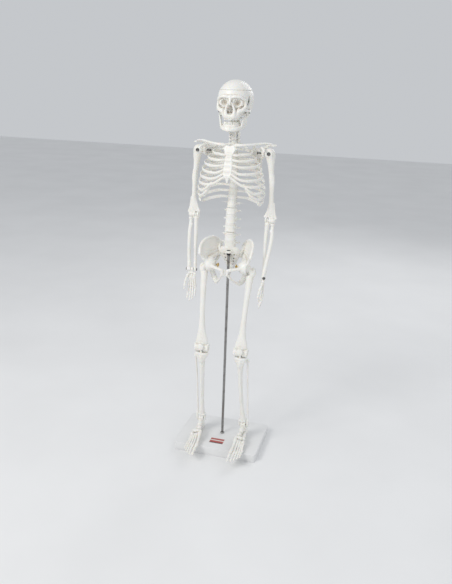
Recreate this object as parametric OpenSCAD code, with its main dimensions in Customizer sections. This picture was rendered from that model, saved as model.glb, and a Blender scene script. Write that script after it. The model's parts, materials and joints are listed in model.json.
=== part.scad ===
// Half-size teaching skeleton on a rod stand.
// +Z is up, the front is -Y, the skeleton's left side is +X.
// The origin is the middle of the stand's underside.

/* [Stand] */
// Width of the base plate
base_w = 200; // [180:1:220]
// Depth of the base plate
base_d = 150; // [140:1:170]
// Height of the base plate
base_h = 20; // [18:1:22]
// Radius of the base plate's upright corners
corner_r = 7; // [5:1:10]
// Wall thickness of the base plate
wall = 2.5; // [2:0.5:3]
// Diameter of the upright rod
rod_d = 6; // [5:0.5:6]
// Height of the top of the rod
rod_top = 483; // [481:1:483]

/* [Joint positions] */
// Half the distance between the shoulder bolts
shoulder_x = 79; // [78:0.5:80]
// Height of the shoulder bolts
shoulder_z = 702; // [701:0.5:702]
// Half the distance between the elbows
elbow_x = 88.5; // [88:0.5:90]
// Height of the elbow pins
elbow_z = 558; // [556:1:560]
// Height of the wrist screws
wrist_z = 434; // [432:1:436]
// Half the distance between the hip centres
hip_x = 42.5; // [42:0.5:43]
// Height of the hip centres
hip_z = 451.7; // [451:0.1:452]
// Half the distance between the knees
knee_x = 46.5; // [46:0.5:48]
// Height of the knee pins
knee_z = 257.9; // [256:0.1:259]
// Half the distance between the ankles
ankle_x = 53; // [52:0.5:54]
// Height of the ankle pins
ankle_z = 57.7; // [57:0.1:59]
// Turn of the left forearm, 0 with the palm forward
left_forearm_turn = 75; // [0:5:90]
// Inward turn of the right foot
right_foot_turn = 2.5; // [0:0.5:4]
// Outward turn of the left foot
left_foot_turn = 1; // [0:0.5:4]

/* [Hardware] */
// Diameter of the elbow pins
elbow_pin_d = 2.4; // [2:0.1:2.4]
// Diameter of the wrist screws
wrist_pin_d = 2.2; // [2:0.1:2.2]
// Diameter of the knee pins
knee_pin_d = 3; // [2.5:0.1:3]
// Diameter of the ankle pins
ankle_pin_d = 2; // [1.8:0.1:2]
// Diameter of the shoulder bolts
bolt_d = 3; // [2.6:0.1:3]
// Radial clearance of every pin in its moving bore
run_fit = 0.1; // [0.08:0.01:0.15]

/* [Hidden] */

bone = [0.93, 0.91, 0.84];
cartilage = [0.90, 0.88, 0.80];
plate = [0.86, 0.86, 0.86];
steel = [0.45, 0.45, 0.47];
chrome = [0.78, 0.79, 0.80];
brass = [0.75, 0.60, 0.30];
black = [0.12, 0.12, 0.12];
label_grey = [0.40, 0.42, 0.45];

// Joint centres of the left side
shoulder = [shoulder_x, 12, shoulder_z];
elbow = [elbow_x, 13, elbow_z];
wrist = [83.5, -6, wrist_z];
hip = [hip_x, -10.7, hip_z];
knee = [knee_x, -37.7, knee_z];
ankle = [ankle_x, -6.2, ankle_z];
neck_top = 777;
neck_y = 9;
jaw_axis = [0, 2, 784];
fine = 32;
fit = 0.05;

// ---------------------------------------------------------------- helpers

function unit(v) = v / norm(v);
function mix(a, b, t) = a + (b - a) * t;
function ease(t) = let (c = min(max(t, 0), 1)) c * c * (3 - 2 * c);
function turned(v, a) = [v.x * cos(a) - v.y * sin(a), v.x * sin(a) + v.y * cos(a), v.z];
// Value at x on the straight pieces between the [x, value] pairs of a table
function along(x, t) = let (n = len(t), i = max([0, for (j = [0 : n - 2]) if (t[j][0] <= x) j]))
    mix(t[i][1], t[i + 1][1], min(max((x - t[i][0]) / (t[i + 1][0] - t[i][0]), 0), 1));

// Tube through points p with half-sizes r = [across, upward] at each point
module tube(p, r, up = [0, 0, 1], n = 8) {
    m = len(p);
    ring = [for (i = [0 : m - 1])
        let (t = unit(p[min(i + 1, m - 1)] - p[max(i - 1, 0)]), s = unit(cross(t, up)), u = cross(s, t))
        for (j = [0 : n - 1]) p[i] + s * r[i][0] * cos(360 * j / n) + u * r[i][1] * sin(360 * j / n)];
    side = [for (i = [0 : m - 2]) for (j = [0 : n - 1])
        let (a = i * n + j, b = i * n + (j + 1) % n)
        for (f = [[a, b, b + n], [a, b + n, a + n]]) f];
    caps = [[for (j = [n - 1 : -1 : 0]) j], [for (j = [0 : n - 1]) (m - 1) * n + j]];
    polyhedron(points = ring, faces = concat(side, caps), convexity = 4);
}

// Row of balls [x, y, z, r] joined two by two
module chain(p, n = 8) {
    for (i = [0 : len(p) - 2]) hull() {
        ball(p[i], n);
        ball(p[i + 1], n);
    }
}

module ball(b, n = 8) {
    translate([b[0], b[1], b[2]]) sphere(r = b[3], $fn = n);
}

// Flat web between balls
module web(p, n = 5) {
    hull() for (b = p) ball(b, n);
}

// Cylinder along X, centred on c
module x_pin(c, r, l, n = fine) {
    translate(c) rotate([0, 90, 0]) cylinder(r = r, h = l, center = true, $fn = n);
}

// Cylinder along Y, centred on c
module y_pin(c, r, l, n = fine) {
    translate(c) rotate([90, 0, 0]) cylinder(r = r, h = l, center = true, $fn = n);
}

module box(lo, hi) {
    translate(lo) cube(hi - lo);
}

// Block with round upright corners
module round_block(w, d, h, r) {
    translate([-w / 2, -d / 2 + r, 0]) cube([w, d - 2 * r, h]);
    translate([-w / 2 + r, -d / 2, 0]) cube([w - 2 * r, d, h]);
    for (x = [-1, 1], y = [-1, 1]) translate([x * (w / 2 - r), y * (d / 2 - r), 0])
        cylinder(r = r, h = h, $fn = 48);
}

module right_side() {
    mirror([1, 0, 0]) children();
}

// ---------------------------------------------------------------- stand

rod_r = rod_d / 2;
boss_r = 9;
post_r = 4.5;
post_x = base_w / 2 - 14;
post_y = base_d / 2 - 14;
cover_h = 2;
nut_h = 5;
nut_z = 3;
collar_h = 3.5;
collar_r = 4.6;
label_size = [36, 26, 0.3];

module post_places() {
    for (x = [-1, 1], y = [-1, 1]) translate([x * post_x, y * post_y, 0]) children();
}

module base_shell() color(plate) difference() {
    union() {
        difference() {
            round_block(base_w, base_d, base_h, corner_r);
            translate([0, 0, -1]) round_block(base_w - 2 * wall, base_d - 2 * wall, base_h - wall + 1, corner_r - wall);
        }
        translate([0, 0, nut_z + nut_h]) cylinder(r = boss_r, h = base_h - wall - nut_z - nut_h + 0.5, $fn = 48);
        post_places() translate([0, 0, cover_h]) cylinder(r = post_r, h = base_h - wall - cover_h + 0.5, $fn = fine);
    }
    cylinder(r = rod_r + fit, h = base_h + 1, $fn = 48);
    post_places() cylinder(r = 1.3, h = 12, $fn = fine);
}

module base_cover() color(plate) difference() {
    gap = 0.3;
    round_block(base_w - 2 * wall - 2 * gap, base_d - 2 * wall - 2 * gap, cover_h, corner_r - wall - gap);
    post_places() translate([0, 0, -1]) cylinder(r = 3.2, h = 2 + 0.2, $fn = fine);
    post_places() cylinder(r = 1.6, h = cover_h + 1, $fn = fine);
}

module cover_screws() color(steel) post_places() {
    translate([0, 0, 0.3]) cylinder(r = 2.9, h = 0.9, $fn = fine);
    translate([0, 0, 0.3]) cylinder(r = 1.25, h = 10, $fn = fine);
}

module base_label() color(label_grey)
    translate([-20, -54, base_h]) cube(label_size);

module support_rod() color(chrome) difference() {
    translate([0, 0, cover_h + 0.6]) cylinder(r = rod_r, h = rod_top - cover_h - 0.6, $fn = 48);
    // groove below the collar's grub screw
    translate([0, 0, base_h + collar_h / 2]) rotate_extrude($fn = 48) translate([rod_r, 0]) circle(r = 0.4, $fn = 16);
}

module rod_collar() color(chrome) difference() {
    translate([0, 0, base_h]) cylinder(r = collar_r, h = collar_h, $fn = 48);
    translate([0, 0, base_h - 1]) cylinder(r = rod_r + fit, h = collar_h + 2, $fn = 48);
    x_pin([collar_r, 0, base_h + collar_h / 2], 0.8, 2 * (collar_r - rod_r) + 1);
}

module rod_nut() color(steel) difference() {
    translate([0, 0, nut_z]) cylinder(r = 5.8, h = nut_h, $fn = 6);
    translate([0, 0, nut_z - 1]) cylinder(r = rod_r + fit, h = nut_h + 2, $fn = 48);
}

// ---------------------------------------------------------------- spine

// Middle of the vertebral bodies, front to back, against height
spine_curve = [[478, 7], [487, 6], [530, 2], [574, 7], [615, 17], [650, 21], [685, 17], [714, 12],
    [737, 7], [755, 7], [775, 9]];
function spine_y(z) = along(z, spine_curve);
lumbar_pitch = 19;
lumbar_low = 487;
thoracic_low = lumbar_low + 5 * lumbar_pitch;
// Height of the middle of thoracic vertebra k, counted from the lowest, 0 to 11
function thoracic_z(k) = thoracic_low + 13.7 * (k + 0.5) - 0.18 * (k + 0.5) * (k + 0.5);
thoracic_high = thoracic_low + 13.7 * 12 - 0.18 * 144;
cervical_pitch = (neck_top - thoracic_high) / 7;

bush_r = 4.4;
bush_low = 474;
lumbar_h = 14.4;
sacrum_top = 484.7;
bush_h = sacrum_top - bush_low;

module rod_bush() color(black) difference() {
    translate([0, 0, bush_low]) cylinder(r = bush_r, h = bush_h, $fn = 48);
    translate([0, 0, bush_low - 1]) cylinder(r = rod_r + 0.08, h = rod_top - bush_low + 1.5, $fn = 48);
}

// One vertebra with its middle at height z: body w x d x h, span of the side processes,
// and how far back and down the spine process reaches
module vertebra(z, w, d, h, span, back, drop) {
    slope = spine_y(z + 4) - spine_y(z - 4);
    arch = [[w * 0.2, d * 0.4], [w * 0.44, d * 0.42], [w * 0.46, d * 0.72], [span / 2, d * 0.82],
        [span / 2, d * 1.0], [w * 0.4, d * 1.02], [w * 0.12, d * 1.3]];
    canal = [[w * 0.22, d * 0.4], [w * 0.24, d * 0.75], [0, d * 1.0]];
    translate([0, spine_y(z), z]) rotate([-atan(slope / 8), 0, 0]) {
        hull() for (s = [-1, 1]) translate([s * (w - d) / 2, 0, 0])
            cylinder(r = d / 2, h = h, center = true, $fn = 8);
        translate([0, 0, -h * 0.1]) linear_extrude(h * 0.36) for (s = [0, 1]) mirror([s, 0])
            polygon(concat(arch, [[0, d * 1.3], canal[2], canal[1], canal[0]]));
        hull() {
            translate([0, d * 1.15, 0]) cube([h * 0.3, 1, h * 0.6], center = true);
            translate([0, back, -drop]) cube([h * 0.22, 1.6, h * 0.42], center = true);
        }
    }
}

module lumbar_vertebrae() color(bone) for (k = [0 : 4])
    vertebra(lumbar_low + lumbar_pitch * (k + 0.5), 25 - k * 0.6, 17, lumbar_h, 43 - k, 27, 3);

module thoracic_vertebrae() color(bone) for (k = [0 : 11])
    vertebra(thoracic_z(k), 20 - k * 0.5, 15 - k * 0.4, 10.4 - k * 0.2, 29 + k * 0.2,
        24 - abs(k - 5) * 0.4, 7 - abs(k - 6) * 0.7);

module cervical_vertebrae() color(bone) for (k = [0 : 6])
    vertebra(thoracic_high + cervical_pitch * (k + 0.5), 12, 8, 5.9, k == 6 ? 33 : 26,
        k == 6 ? 11 : 19 - k, 2);

// Disc between two vertebral bodies
module disc(z, r, h) {
    translate([0, spine_y(z), z]) cylinder(r = r, h = h, center = true, $fn = fine);
}

module intervertebral_discs() color(cartilage) {
    for (k = [0 : 4]) disc(lumbar_low + lumbar_pitch * k, 8, lumbar_pitch - lumbar_h);
    disc(thoracic_low - 0.35, 7.6, 3.9);
    for (k = [1 : 11]) disc((thoracic_z(k - 1) + thoracic_z(k)) / 2, 7 - k * 0.22, 3.2 - k * 0.16);
    for (k = [0 : 6]) disc(thoracic_high + cervical_pitch * k, 4, cervical_pitch - 5.9);
}

module neck_pin() color(steel) translate([0, neck_y, neck_top - 9]) {
    cylinder(r = 1.8, h = 17, $fn = fine);
}

// ---------------------------------------------------------------- chest

// One value for each rib, from the first to the twelfth
rib_half_width = [29, 43, 53, 60, 65, 69, 72, 74, 74.5, 72, 66, 54];
rib_back = [12, 16, 19, 21, 22, 22, 22, 22, 21, 19, 15, 11];
rib_front = [-18, -26, -32, -36, -39, -41, -41, -40, -37, -32, -22, -10];
rib_sweep = [150, 152, 150, 148, 147, 143, 138, 132, 124, 114, 95, 62];
rib_drop = [7, 9, 11, 13, 16, 18, 20, 22, 22, 20, 13, 8];
rib_steps = 8;
rib_head_x = 8.5;
function rib_z(k) = thoracic_z(11 - k) + 1;

// Point of rib k at share t of its length, on the left side
function rib_point(k, t) = let (
        z0 = rib_z(k), y0 = spine_y(z0), w = rib_half_width[k],
        back = y0 + rib_back[k], front = rib_front[k],
        first = asin(rib_head_x / w), a = mix(first, rib_sweep[k], t),
        deep = (back - front) / 2, mid = (back + front) / 2,
        pull = (back - y0 - 4) * (1 - ease((a - first) / 24)))
    [w * sin(a), mid + deep * cos(a) - pull, z0 - rib_drop[k] * ease(t)];

module ribs_left() color(bone) for (k = [0 : 11]) {
    steps = k == 11 ? 4 : rib_steps;
    p = [for (i = [0 : steps]) rib_point(k, i / steps)];
    tall = k == 0 ? 1.8 : 2.9;
    deep = k == 0 ? 3 : 1.6;
    tube(p, [for (i = [0 : steps]) [deep, mix(tall * 0.75, tall, ease(i / 3))]], n = 6);
}

module ribs_right() right_side() ribs_left();

// Middle of the breastbone's front, against height
sternum_curve = [[640, -37], [652, -38], [700, -26], [718, -20]];
function sternum_y(z) = along(z, sternum_curve);
sternum_top = 718;
sternum_low = 652;

module sternum() color(bone) {
    half = [[718, 9], [712, 12.5], [704, 11], [697, 7.5], [690, 8], [674, 9.5], [660, 9], [652, 6.5],
        [646, 3.2], [640, 1.6]];
    for (i = [0 : len(half) - 2]) hull() for (h = [half[i], half[i + 1]])
        translate([0, sternum_y(h[0]), h[0]]) rotate([14, 0, 0])
            scale([1, 2.2 / h[1], 1]) cylinder(r = h[1], h = 1, center = true, $fn = 10);
}

module costal_cartilages() color(cartilage) for (s = [0, 1]) mirror([s, 0, 0]) {
    // the first seven reach the breastbone
    seats = [[11, 711], [9, 698], [9.5, 688], [10, 677], [10, 667], [9, 658], [7.5, 652]];
    for (k = [0 : 6]) {
        a = rib_point(k, 0.995);
        c = [seats[k][0] - 1, sternum_y(seats[k][1]), seats[k][1]];
        m = [mix(a.x, c.x, 0.45), mix(a.y, c.y, 0.6) - 1.5, mix(a.z, c.z, 0.3) - (k > 3 ? 1.5 : 0)];
        hull() { ball(concat(a, 2.1), 4); ball(concat(m, 2.1), 4); }
        hull() { ball(concat(m, 2.1), 4); ball(concat(c, 1.9), 4); }
    }
    // the next three each run up to the cartilage above
    for (k = [7 : 9]) {
        a = rib_point(k, 0.995);
        b = rib_point(k - 1, 0.995);
        m = mix(a, b, 0.5) + [-9, -6, 3];
        e = mix(b, [8, sternum_y(652), 650], 0.32);
        hull() { ball(concat(a, 2), 4); ball(concat(m, 2), 4); }
        hull() { ball(concat(m, 2), 4); ball(concat(e, 2), 4); }
    }
}

// ---------------------------------------------------------------- shoulder girdle

module clavicle_left() color(bone) {
    p = [[10, -19.5, 717], [14, -22, 718.5], [26, -24, 719.4], [42, -16, 720.6], [57, -2, 722], [68, 7, 723],
        [76, 12, 722.5], [81, 14, 722]];
    r = [[3, 3.6], [3.8, 4.2], [2.9, 3], [2.6, 2.7], [2.9, 2.5], [3.6, 2.2], [4.2, 2], [3.4, 1.7]];
    tube(p, r);
}

module clavicle_right() right_side() clavicle_left();

socket_gap = 0.5;
head_r = 11.5;
eye_shank_r = 1.7;

module scapula_left() color(bone) difference() {
    union() {
        top = [37, 37, 716, 1.7];
        low = [53, 45, 641, 2.2];
        neck = [61, 17, 701, 5.2];
        root = [37, 42, 704, 1.8];
        web([top, low, [60, 22, 690, 2.4]]);
        web([top, root, low]);
        web([top, neck, [60, 22, 690, 2.4]]);
        // thick outer border, neck and socket
        chain([neck, [61, 22, 685, 3], [58, 33, 664, 2.6], low], 5);
        web([neck, [66, 13.5, 708, 4.2], [66.5, 13, 697, 4.4]], 6);
        web([neck, [62, 26, 706, 3], root]);
        // spine and acromion
        web([root, [62, 31, 711, 1.8], [60, 24, 703, 2.4]]);
        web([[62, 31, 711, 2], [76, 30, 717.5, 2], [80, 25, 719, 2]]);
        web([[76, 30, 717.5, 2], [89, 22, 718, 1.9], [87, 10, 718, 1.9], [79, 17, 718, 1.9]]);
        // coracoid
        chain([[62, 12, 708, 3.6], [64, 2, 713.5, 3], [69, -6, 711.5, 2.6], [71, -9, 708.5, 2.4]], 6);
    }
    ball(concat(shoulder, head_r + socket_gap + 0.2), 16);
    x_pin([62, shoulder.y, shoulder.z], eye_shank_r + run_fit, 24, 24);
}

module scapula_right() right_side() scapula_left();

module shoulder_eye_left() color(steel) difference() {
    union() {
        y_pin(shoulder, 4.4, 3);
        x_pin([(shoulder.x - 3 + 53.2) / 2, shoulder.y, shoulder.z], eye_shank_r, shoulder.x - 3 - 53.2);
        x_pin([52.4, shoulder.y, shoulder.z], 3, 2.2);
    }
    y_pin(shoulder, bolt_d / 2 + run_fit, 8);
}

module shoulder_eye_right() right_side() shoulder_eye_left();

module shoulder_bolt_left() color(steel) {
    y_pin(shoulder, bolt_d / 2, 20);
    translate(shoulder + [0, -10, 0]) rotate([90, 30, 0]) cylinder(r = 3.4, h = 2.4, $fn = 6);
    translate(shoulder + [0, 12.2, 0]) rotate([90, 30, 0]) cylinder(r = 3.4, h = 2.4, $fn = 6);
}

module shoulder_bolt_right() right_side() shoulder_bolt_left();

// ---------------------------------------------------------------- arm

trochlea_r = 6;
slot_x = -6;
slot_w = 4;

module humerus_left() color(bone) difference() {
    s = shoulder;
    e = elbow;
    union() {
        translate(s) sphere(r = head_r, $fn = fine);
        // greater and lesser tubercles
        hull() { ball([s.x + 7.5, s.y + 1, s.z - 1, 5.4], 10); ball([s.x + 6, s.y, s.z - 12, 6], 10); }
        hull() { ball([s.x + 4, s.y - 7, s.z - 3, 4.2], 8); ball([s.x + 5, s.y - 2, s.z - 14, 5], 8); }
        p = [for (t = [0, 0.06, 0.13, 0.22, 0.36, 0.55, 0.72, 0.84, 0.93, 0.985])
            mix(s + [2, 0, -2], e, t) + [2.5 * sin(180 * t), 0, 0]];
        tube(p, [[10, 10], [9.5, 9], [8, 7.5], [6.3, 6], [5.6, 5.6], [5.3, 5.2], [6, 4.8], [8, 4],
            [12, 3.2], [12.5, 3.2]], up = [0, 1, 0], n = 10);
        x_pin(e + [-0.5, 0, 0], trochlea_r, 23, 24);
        // epicondyles
        hull() { ball([e.x - 12.5, e.y, e.z + 8, 3], 8); ball([e.x - 8, e.y, e.z + 16, 2.6], 8); }
        hull() { ball([e.x + 11.5, e.y + 1, e.z + 5, 3], 8); ball([e.x + 8, e.y, e.z + 16, 2.4], 8); }
    }
    // slot for the eye, open from the inner side to the top
    box([s.x - 15, s.y - 2, s.z - 2.6], [s.x, s.y + 2, s.z + 15]);
    box([s.x - 1, s.y - 2, s.z], [s.x + 2.6, s.y + 2, s.z + 15]);
    y_pin(s, 5, 4, 24);
    y_pin(s, bolt_d / 2 + fit, 40, 24);
    y_pin(s + [0, -14.8, 0], 4.1, 10, 24);
    y_pin(s + [0, 14.8, 0], 4.1, 10, 24);
    // slot for the ulna's tongue
    box([e.x + slot_x - slot_w / 2, e.y - 12, e.z - 12], [e.x + slot_x + slot_w / 2, e.y + 12, e.z + 6.6]);
    x_pin(e, elbow_pin_d / 2 + fit, 40, 24);
}

module humerus_right() right_side() humerus_left();

module elbow_pin_left() color(steel) x_pin(elbow + [-0.5, 0, 0], elbow_pin_d / 2, 21);
module elbow_pin_right() right_side() elbow_pin_left();

// Offset of a forearm bone from the line between elbow and wrist, turned with the forearm
forearm = unit(wrist - elbow);
function arm_point(t, off, turn) = mix(elbow, wrist, t) + turned([off.x, off.y, 0], -turn * ease(t));
wrist_end_r = 4.2;
tongue_half = 3;

module ulna(turn) color(bone) difference() {
    e = elbow;
    lean = atan((elbow.y - wrist.y) / (elbow.z - wrist.z));
    union() {
        // notch that wraps the trochlea, and the tongue on the pin
        a0 = 22;
        a1 = -138;
        n = 12;
        translate([e.x - 12, e.y, e.z]) rotate([lean, 0, 0]) rotate([90, 0, 90]) linear_extrude(11)
            polygon([for (i = [0 : n]) let (a = mix(a0, a1, i / n)) 9.6 * [-sin(a), -cos(a)],
                for (i = [n : -1 : 0]) let (a = mix(a0, a1, i / n)) (trochlea_r + 0.4) * [-sin(a), -cos(a)]]);
        x_pin([e.x + slot_x, e.y, e.z], 5.2, 3.2, 20);
        translate([e.x + slot_x, e.y, e.z]) rotate([lean, 0, 0]) box([-1.6, -4, -8], [1.6, 4, 0]);
        p = [for (t = [0.06, 0.12, 0.2, 0.4, 0.6, 0.8, 0.9, 0.965]) arm_point(t, [mix(-6, -7, t), 0, 0], turn)];
        tube(p, [[5, 5.5], [4.8, 5], [4.3, 4.4], [4, 4.1], [3.8, 3.9], [3.7, 3.8], [3.8, 3.9], [3.9, 4]],
            up = [0, 1, 0]);
        wrist_end([-tongue_half - 4, 0, 0], 6.4, turn);
        hull() {
            ball(concat(arm_point(0.11, [-6, 1.5], turn), 4.6), 8);
            ball(concat(arm_point(0.2, [-6, 1], turn), 3.6), 8);
        }
    }
    x_pin(e, elbow_pin_d / 2 + run_fit, 40, 32);
    wrist_bore(turn);
}

// Rounded end that the wrist screw passes through
module wrist_end(off, w, turn) {
    translate(wrist) rotate([0, 0, -turn]) {
        x_pin(off, wrist_end_r, w, 20);
        hull() {
            x_pin(off, wrist_end_r, w, 12);
            x_pin(off + [0, 0, 7], 3.2, w * 0.75, 12);
        }
    }
}

module wrist_bore(turn) {
    translate(wrist) rotate([0, 0, -turn]) x_pin([0, 0, 0], wrist_pin_d / 2 + fit, 40, 24);
}

module radius(turn) color(bone) difference() {
    union() {
        p = [for (t = [0.052, 0.085, 0.12, 0.18, 0.3, 0.5, 0.7, 0.85, 0.94])
            arm_point(t, [mix(6.3, 7, t) + 2.4 * sin(180 * t), 0], turn)];
        tube(p, [[5, 5], [4.8, 4.8], [3.6, 3.6], [4.2, 4.2], [4.1, 4.2], [4.1, 4.2], [4.3, 4.3], [4.8, 4.2],
            [5.2, 4.2]], up = [0, 1, 0], n = 8);
        wrist_end([tongue_half + 5.2, 0, 0], 9.8, turn);
    }
    wrist_bore(turn);
}

module ulna_left() ulna(left_forearm_turn);
module ulna_right() right_side() ulna(0);
module radius_left() radius(left_forearm_turn);
module radius_right() right_side() radius(0);

module wrist_screw(turn) color(steel) translate(wrist) rotate([0, 0, -turn]) {
    x_pin([1.2, 0, 0], wrist_pin_d / 2, 24);
    x_pin([tongue_half + 10.9, 0, 0], 3.6, 1.4);
    x_pin([-tongue_half - 7.9, 0, 0], 3.2, 1.4);
}

module wrist_screw_left() wrist_screw(left_forearm_turn);
module wrist_screw_right() right_side() wrist_screw(0);

// Rays of the hand: knuckle x, knuckle z, finger tip x and length of the finger
rays = [[8.4, -40, 9.4, 28], [2.8, -42, 3.2, 31], [-2.8, -40.5, -3, 28], [-8.2, -38, -9.2, 23]];

module hand(turn) color(bone) translate(wrist) rotate([0, 0, -turn]) difference() {
    union() {
        x_pin([0, 0, 0], 4.4, 2 * tongue_half - 0.5, 20);
        box([-tongue_half + 0.25, -3, -9], [tongue_half - 0.25, 3, 0]);
        // wrist bones
        web([[-8.5, 0.5, -9.5, 3.6], [8.5, 0.5, -9.5, 3.8], [-8, 0, -15, 3.4], [9, 0, -15, 3.6]], 8);
        for (r = rays) {
            x0 = r[0] * 0.72;
            chain([[x0, 0, -16, 3.3], [r[0], 0, r[1], 3.1],
                [mix(r[0], r[2], 0.5), -2, r[1] - r[3] * 0.5, 2.7], [r[2], -7.5, r[1] - r[3], 2.2]], 5);
        }
        // thumb
        chain([[9, -2, -12, 3.6], [13.6, -7, -26, 3.2], [15, -9.5, -36, 2.8], [15, -11.5, -46, 2.2]], 5);
    }
    x_pin([0, 0, 0], wrist_pin_d / 2 + run_fit, 40, 32);
}

module hand_left() hand(left_forearm_turn);
module hand_right() right_side() hand(0);

// ---------------------------------------------------------------- pelvis

cup_r = 12.2;

module sacrum() color(bone) difference() {
    // middle line from the first body to the coccyx: y, z and half-thickness
    line = [[7, 480, 8], [15, 466, 7], [21, 452, 6], [24, 440, 4.6], [21, 429, 3], [15, 421, 1.8]];
    union() {
        hull() for (s = [-1, 1]) translate([s * 4.5, 7, sacrum_top - 3]) cylinder(r = 8, h = 6, center = true, $fn = 10);
        // boss round the rod's ferrule
        translate([0, 0, 479]) cylinder(r = 7.2, h = sacrum_top - 479, $fn = 20);
        for (i = [0 : 2]) hull() for (j = [i, i + 1], s = [-1, 1])
            ball([s * (15 - 4.4 * j), line[j][0] + 2, line[j][1] - 1, 5.4 - j], 5);
        chain([for (b = line) [0, b[0], b[1], b[2]]], 6);
        // wings that meet the hip bones, and the ridges at the back
        for (s = [-1, 1]) {
            web([[s * 8, 9, 482, 4], [s * 23, 14, 479, 4], [s * 20, 21, 462, 4]], 5);
            web([[s * 6, 12, 470, 4], [s * 20, 21, 462, 4], [s * 10, 24, 448, 3]], 5);
        }
        web([[0, 22, 482, 2.4], [0, 31, 470, 2.4], [0, 16, 470, 2.4], [0, 31, 452, 2.2]], 5);
    }
    translate([0, 0, bush_low - 8]) cylinder(r = bush_r + fit, h = 40, $fn = fine);
    translate([0, 8, sacrum_top + 10]) cube([60, 60, 20], center = true);
}

module hip_bone_left() color(bone) difference() {
    h = hip;
    crest = [[58, -33, 480, 3], [60, -27, 492, 3.2], [58, -13, 503, 2.8], [51, 3, 509, 2.6],
        [42, 18, 508, 2.8], [30, 33, 498, 3.4], [25, 34, 488, 3.6]];
    low = [[50, -24, 464, 3.4], [49, -14, 468, 3], [46, -2, 468, 3], [40, 10, 470, 3.2],
        [32, 20, 472, 3.6], [27, 26, 474, 4], [25, 30, 478, 4]];
    union() {
        // wing
        for (i = [0 : 5]) web([crest[i], crest[i + 1], low[i], low[i + 1]], 5);
        // joint face to the sacrum
        web([[26, 18, 480, 3.2], [30, 26, 492, 3], [25, 30, 470, 3.4]], 5);
        // socket
        ball([h.x - 1.5, h.y, h.z, 16.2], 14);
        web([[50, -24, 464, 3.6], [h.x + 4, h.y - 8, h.z + 8, 5], [h.x, h.y + 6, h.z + 12, 5]], 5);
        web([[h.x, h.y + 4, h.z + 10, 6], [38, 8, 468, 4.4], [30, 20, 468, 4]], 5);
        // pubis
        chain([[34, -20, 450, 5], [22, -29, 449, 3.6], [9, -33, 447, 4.2], [5, -33, 440, 3.8]], 5);
        web([[9, -33, 447, 3.6], [4.8, -33, 446, 3], [4.8, -31, 436, 3]], 5);
        chain([[5.5, -31, 436, 3], [13, -22, 424, 2.8], [20, -10, 414, 3], [27, -1, 409, 4]], 5);
        // ischium
        chain([[40, 1, 438, 7], [37, 8, 424, 6], [32, 6, 412, 6], [27, 0, 409, 5]], 5);
        chain([[42, 4, 446, 6], [33, 16, 455, 3], [27, 26, 468, 3.4]], 5);
    }
    ball(concat(h, cup_r), 16);
    // open side of the socket, away from the middle
    translate(h + [2.5, 0, 0]) rotate([0, 90, 0]) cylinder(r1 = 12, r2 = 30, h = 16, $fn = 16);
    x_pin(h + [-12, 0, 0], 1.6 + fit, 24, 16);
}

module hip_bone_right() right_side() hip_bone_left();

module pubic_symphysis() color(cartilage) hull() for (z = [435, 446])
    translate([0, -32.6 + (z < 440 ? 1 : 0), z]) sphere(r = 3.2, $fn = 10);

module hip_screws() color(brass) for (s = [0, 1]) mirror([s, 0, 0]) {
    x_pin(hip + [-9, 0, 0], 1.6, 26);
    x_pin(hip + [-21.2, 0, 0], 5, 1.6);
    x_pin(hip + [-22.6, 0, 0], 3, 1.6);
}

// ---------------------------------------------------------------- leg

ball_r = 11.5;
condyle_r = 10;
condyle_half = 17;
notch_half = 2.6;
plateau = 11.2;

module femur_left() color(bone) difference() {
    h = hip;
    k = knee;
    union() {
        translate(h) sphere(r = ball_r, $fn = fine);
        chain([[h.x + 4, h.y, h.z - 1.5, 7.4], [h.x + 11, h.y + 2, h.z - 7, 6.2], [h.x + 15, h.y + 3, h.z - 15, 8]], 10);
        // greater and lesser trochanters
        chain([[h.x + 15, h.y + 4, h.z - 16, 7.5], [h.x + 18, h.y + 5, h.z - 8, 5.4], [h.x + 16.5, h.y + 7, h.z - 2.5, 4]], 8);
        chain([[h.x + 10, h.y + 6, h.z - 30, 4.4], [h.x + 7, h.y + 8, h.z - 26, 3.6]], 8);
        top = h + [11, 2, -22];
        low = k + [0, 0, 10];
        p = [for (t = [0, 0.1, 0.2, 0.35, 0.5, 0.65, 0.8, 0.9, 0.97]) mix(top, low, t) + [0, -6 * sin(180 * t), 0]];
        tube(p, [[8.4, 7.6], [7.6, 7.4], [6.9, 6.9], [6.4, 6.5], [6.3, 6.5], [6.8, 6.6], [9, 7.2], [13, 7.8],
            [16, 8]], up = [0, 1, 0], n = 10);
        x_pin(k, condyle_r, 2 * condyle_half, 32);
        // epicondyles
        for (s = [-1, 1]) chain([[k.x + s * 12, k.y, k.z + 12, 5.5], [k.x + s * 15, k.y, k.z + 4, 5]], 8);
    }
    box(k - [notch_half, 20, 20], k + [notch_half, 20, 7]);
    x_pin(k, knee_pin_d / 2 + fit, 50, 24);
    x_pin(h + [-4, 0, 0], 1.6 + run_fit, 24, 32);
}

module femur_right() right_side() femur_left();

module patella_left() color(bone) translate(knee + [0, -14.2, 5]) hull() {
    translate([0, -0.6, 0]) scale([8.4, 3, 8.6]) sphere(r = 1, $fn = 10);
    translate([0, 1.4, 1]) scale([7.6, 1.6, 7]) sphere(r = 1, $fn = 8);
}
module patella_right() right_side() patella_left();

module knee_pin_left() color(steel) x_pin(knee, knee_pin_d / 2, 2 * condyle_half - 3);
module knee_pin_right() right_side() knee_pin_left();

talus_r = 7.6;
talus_half = 6;

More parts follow.
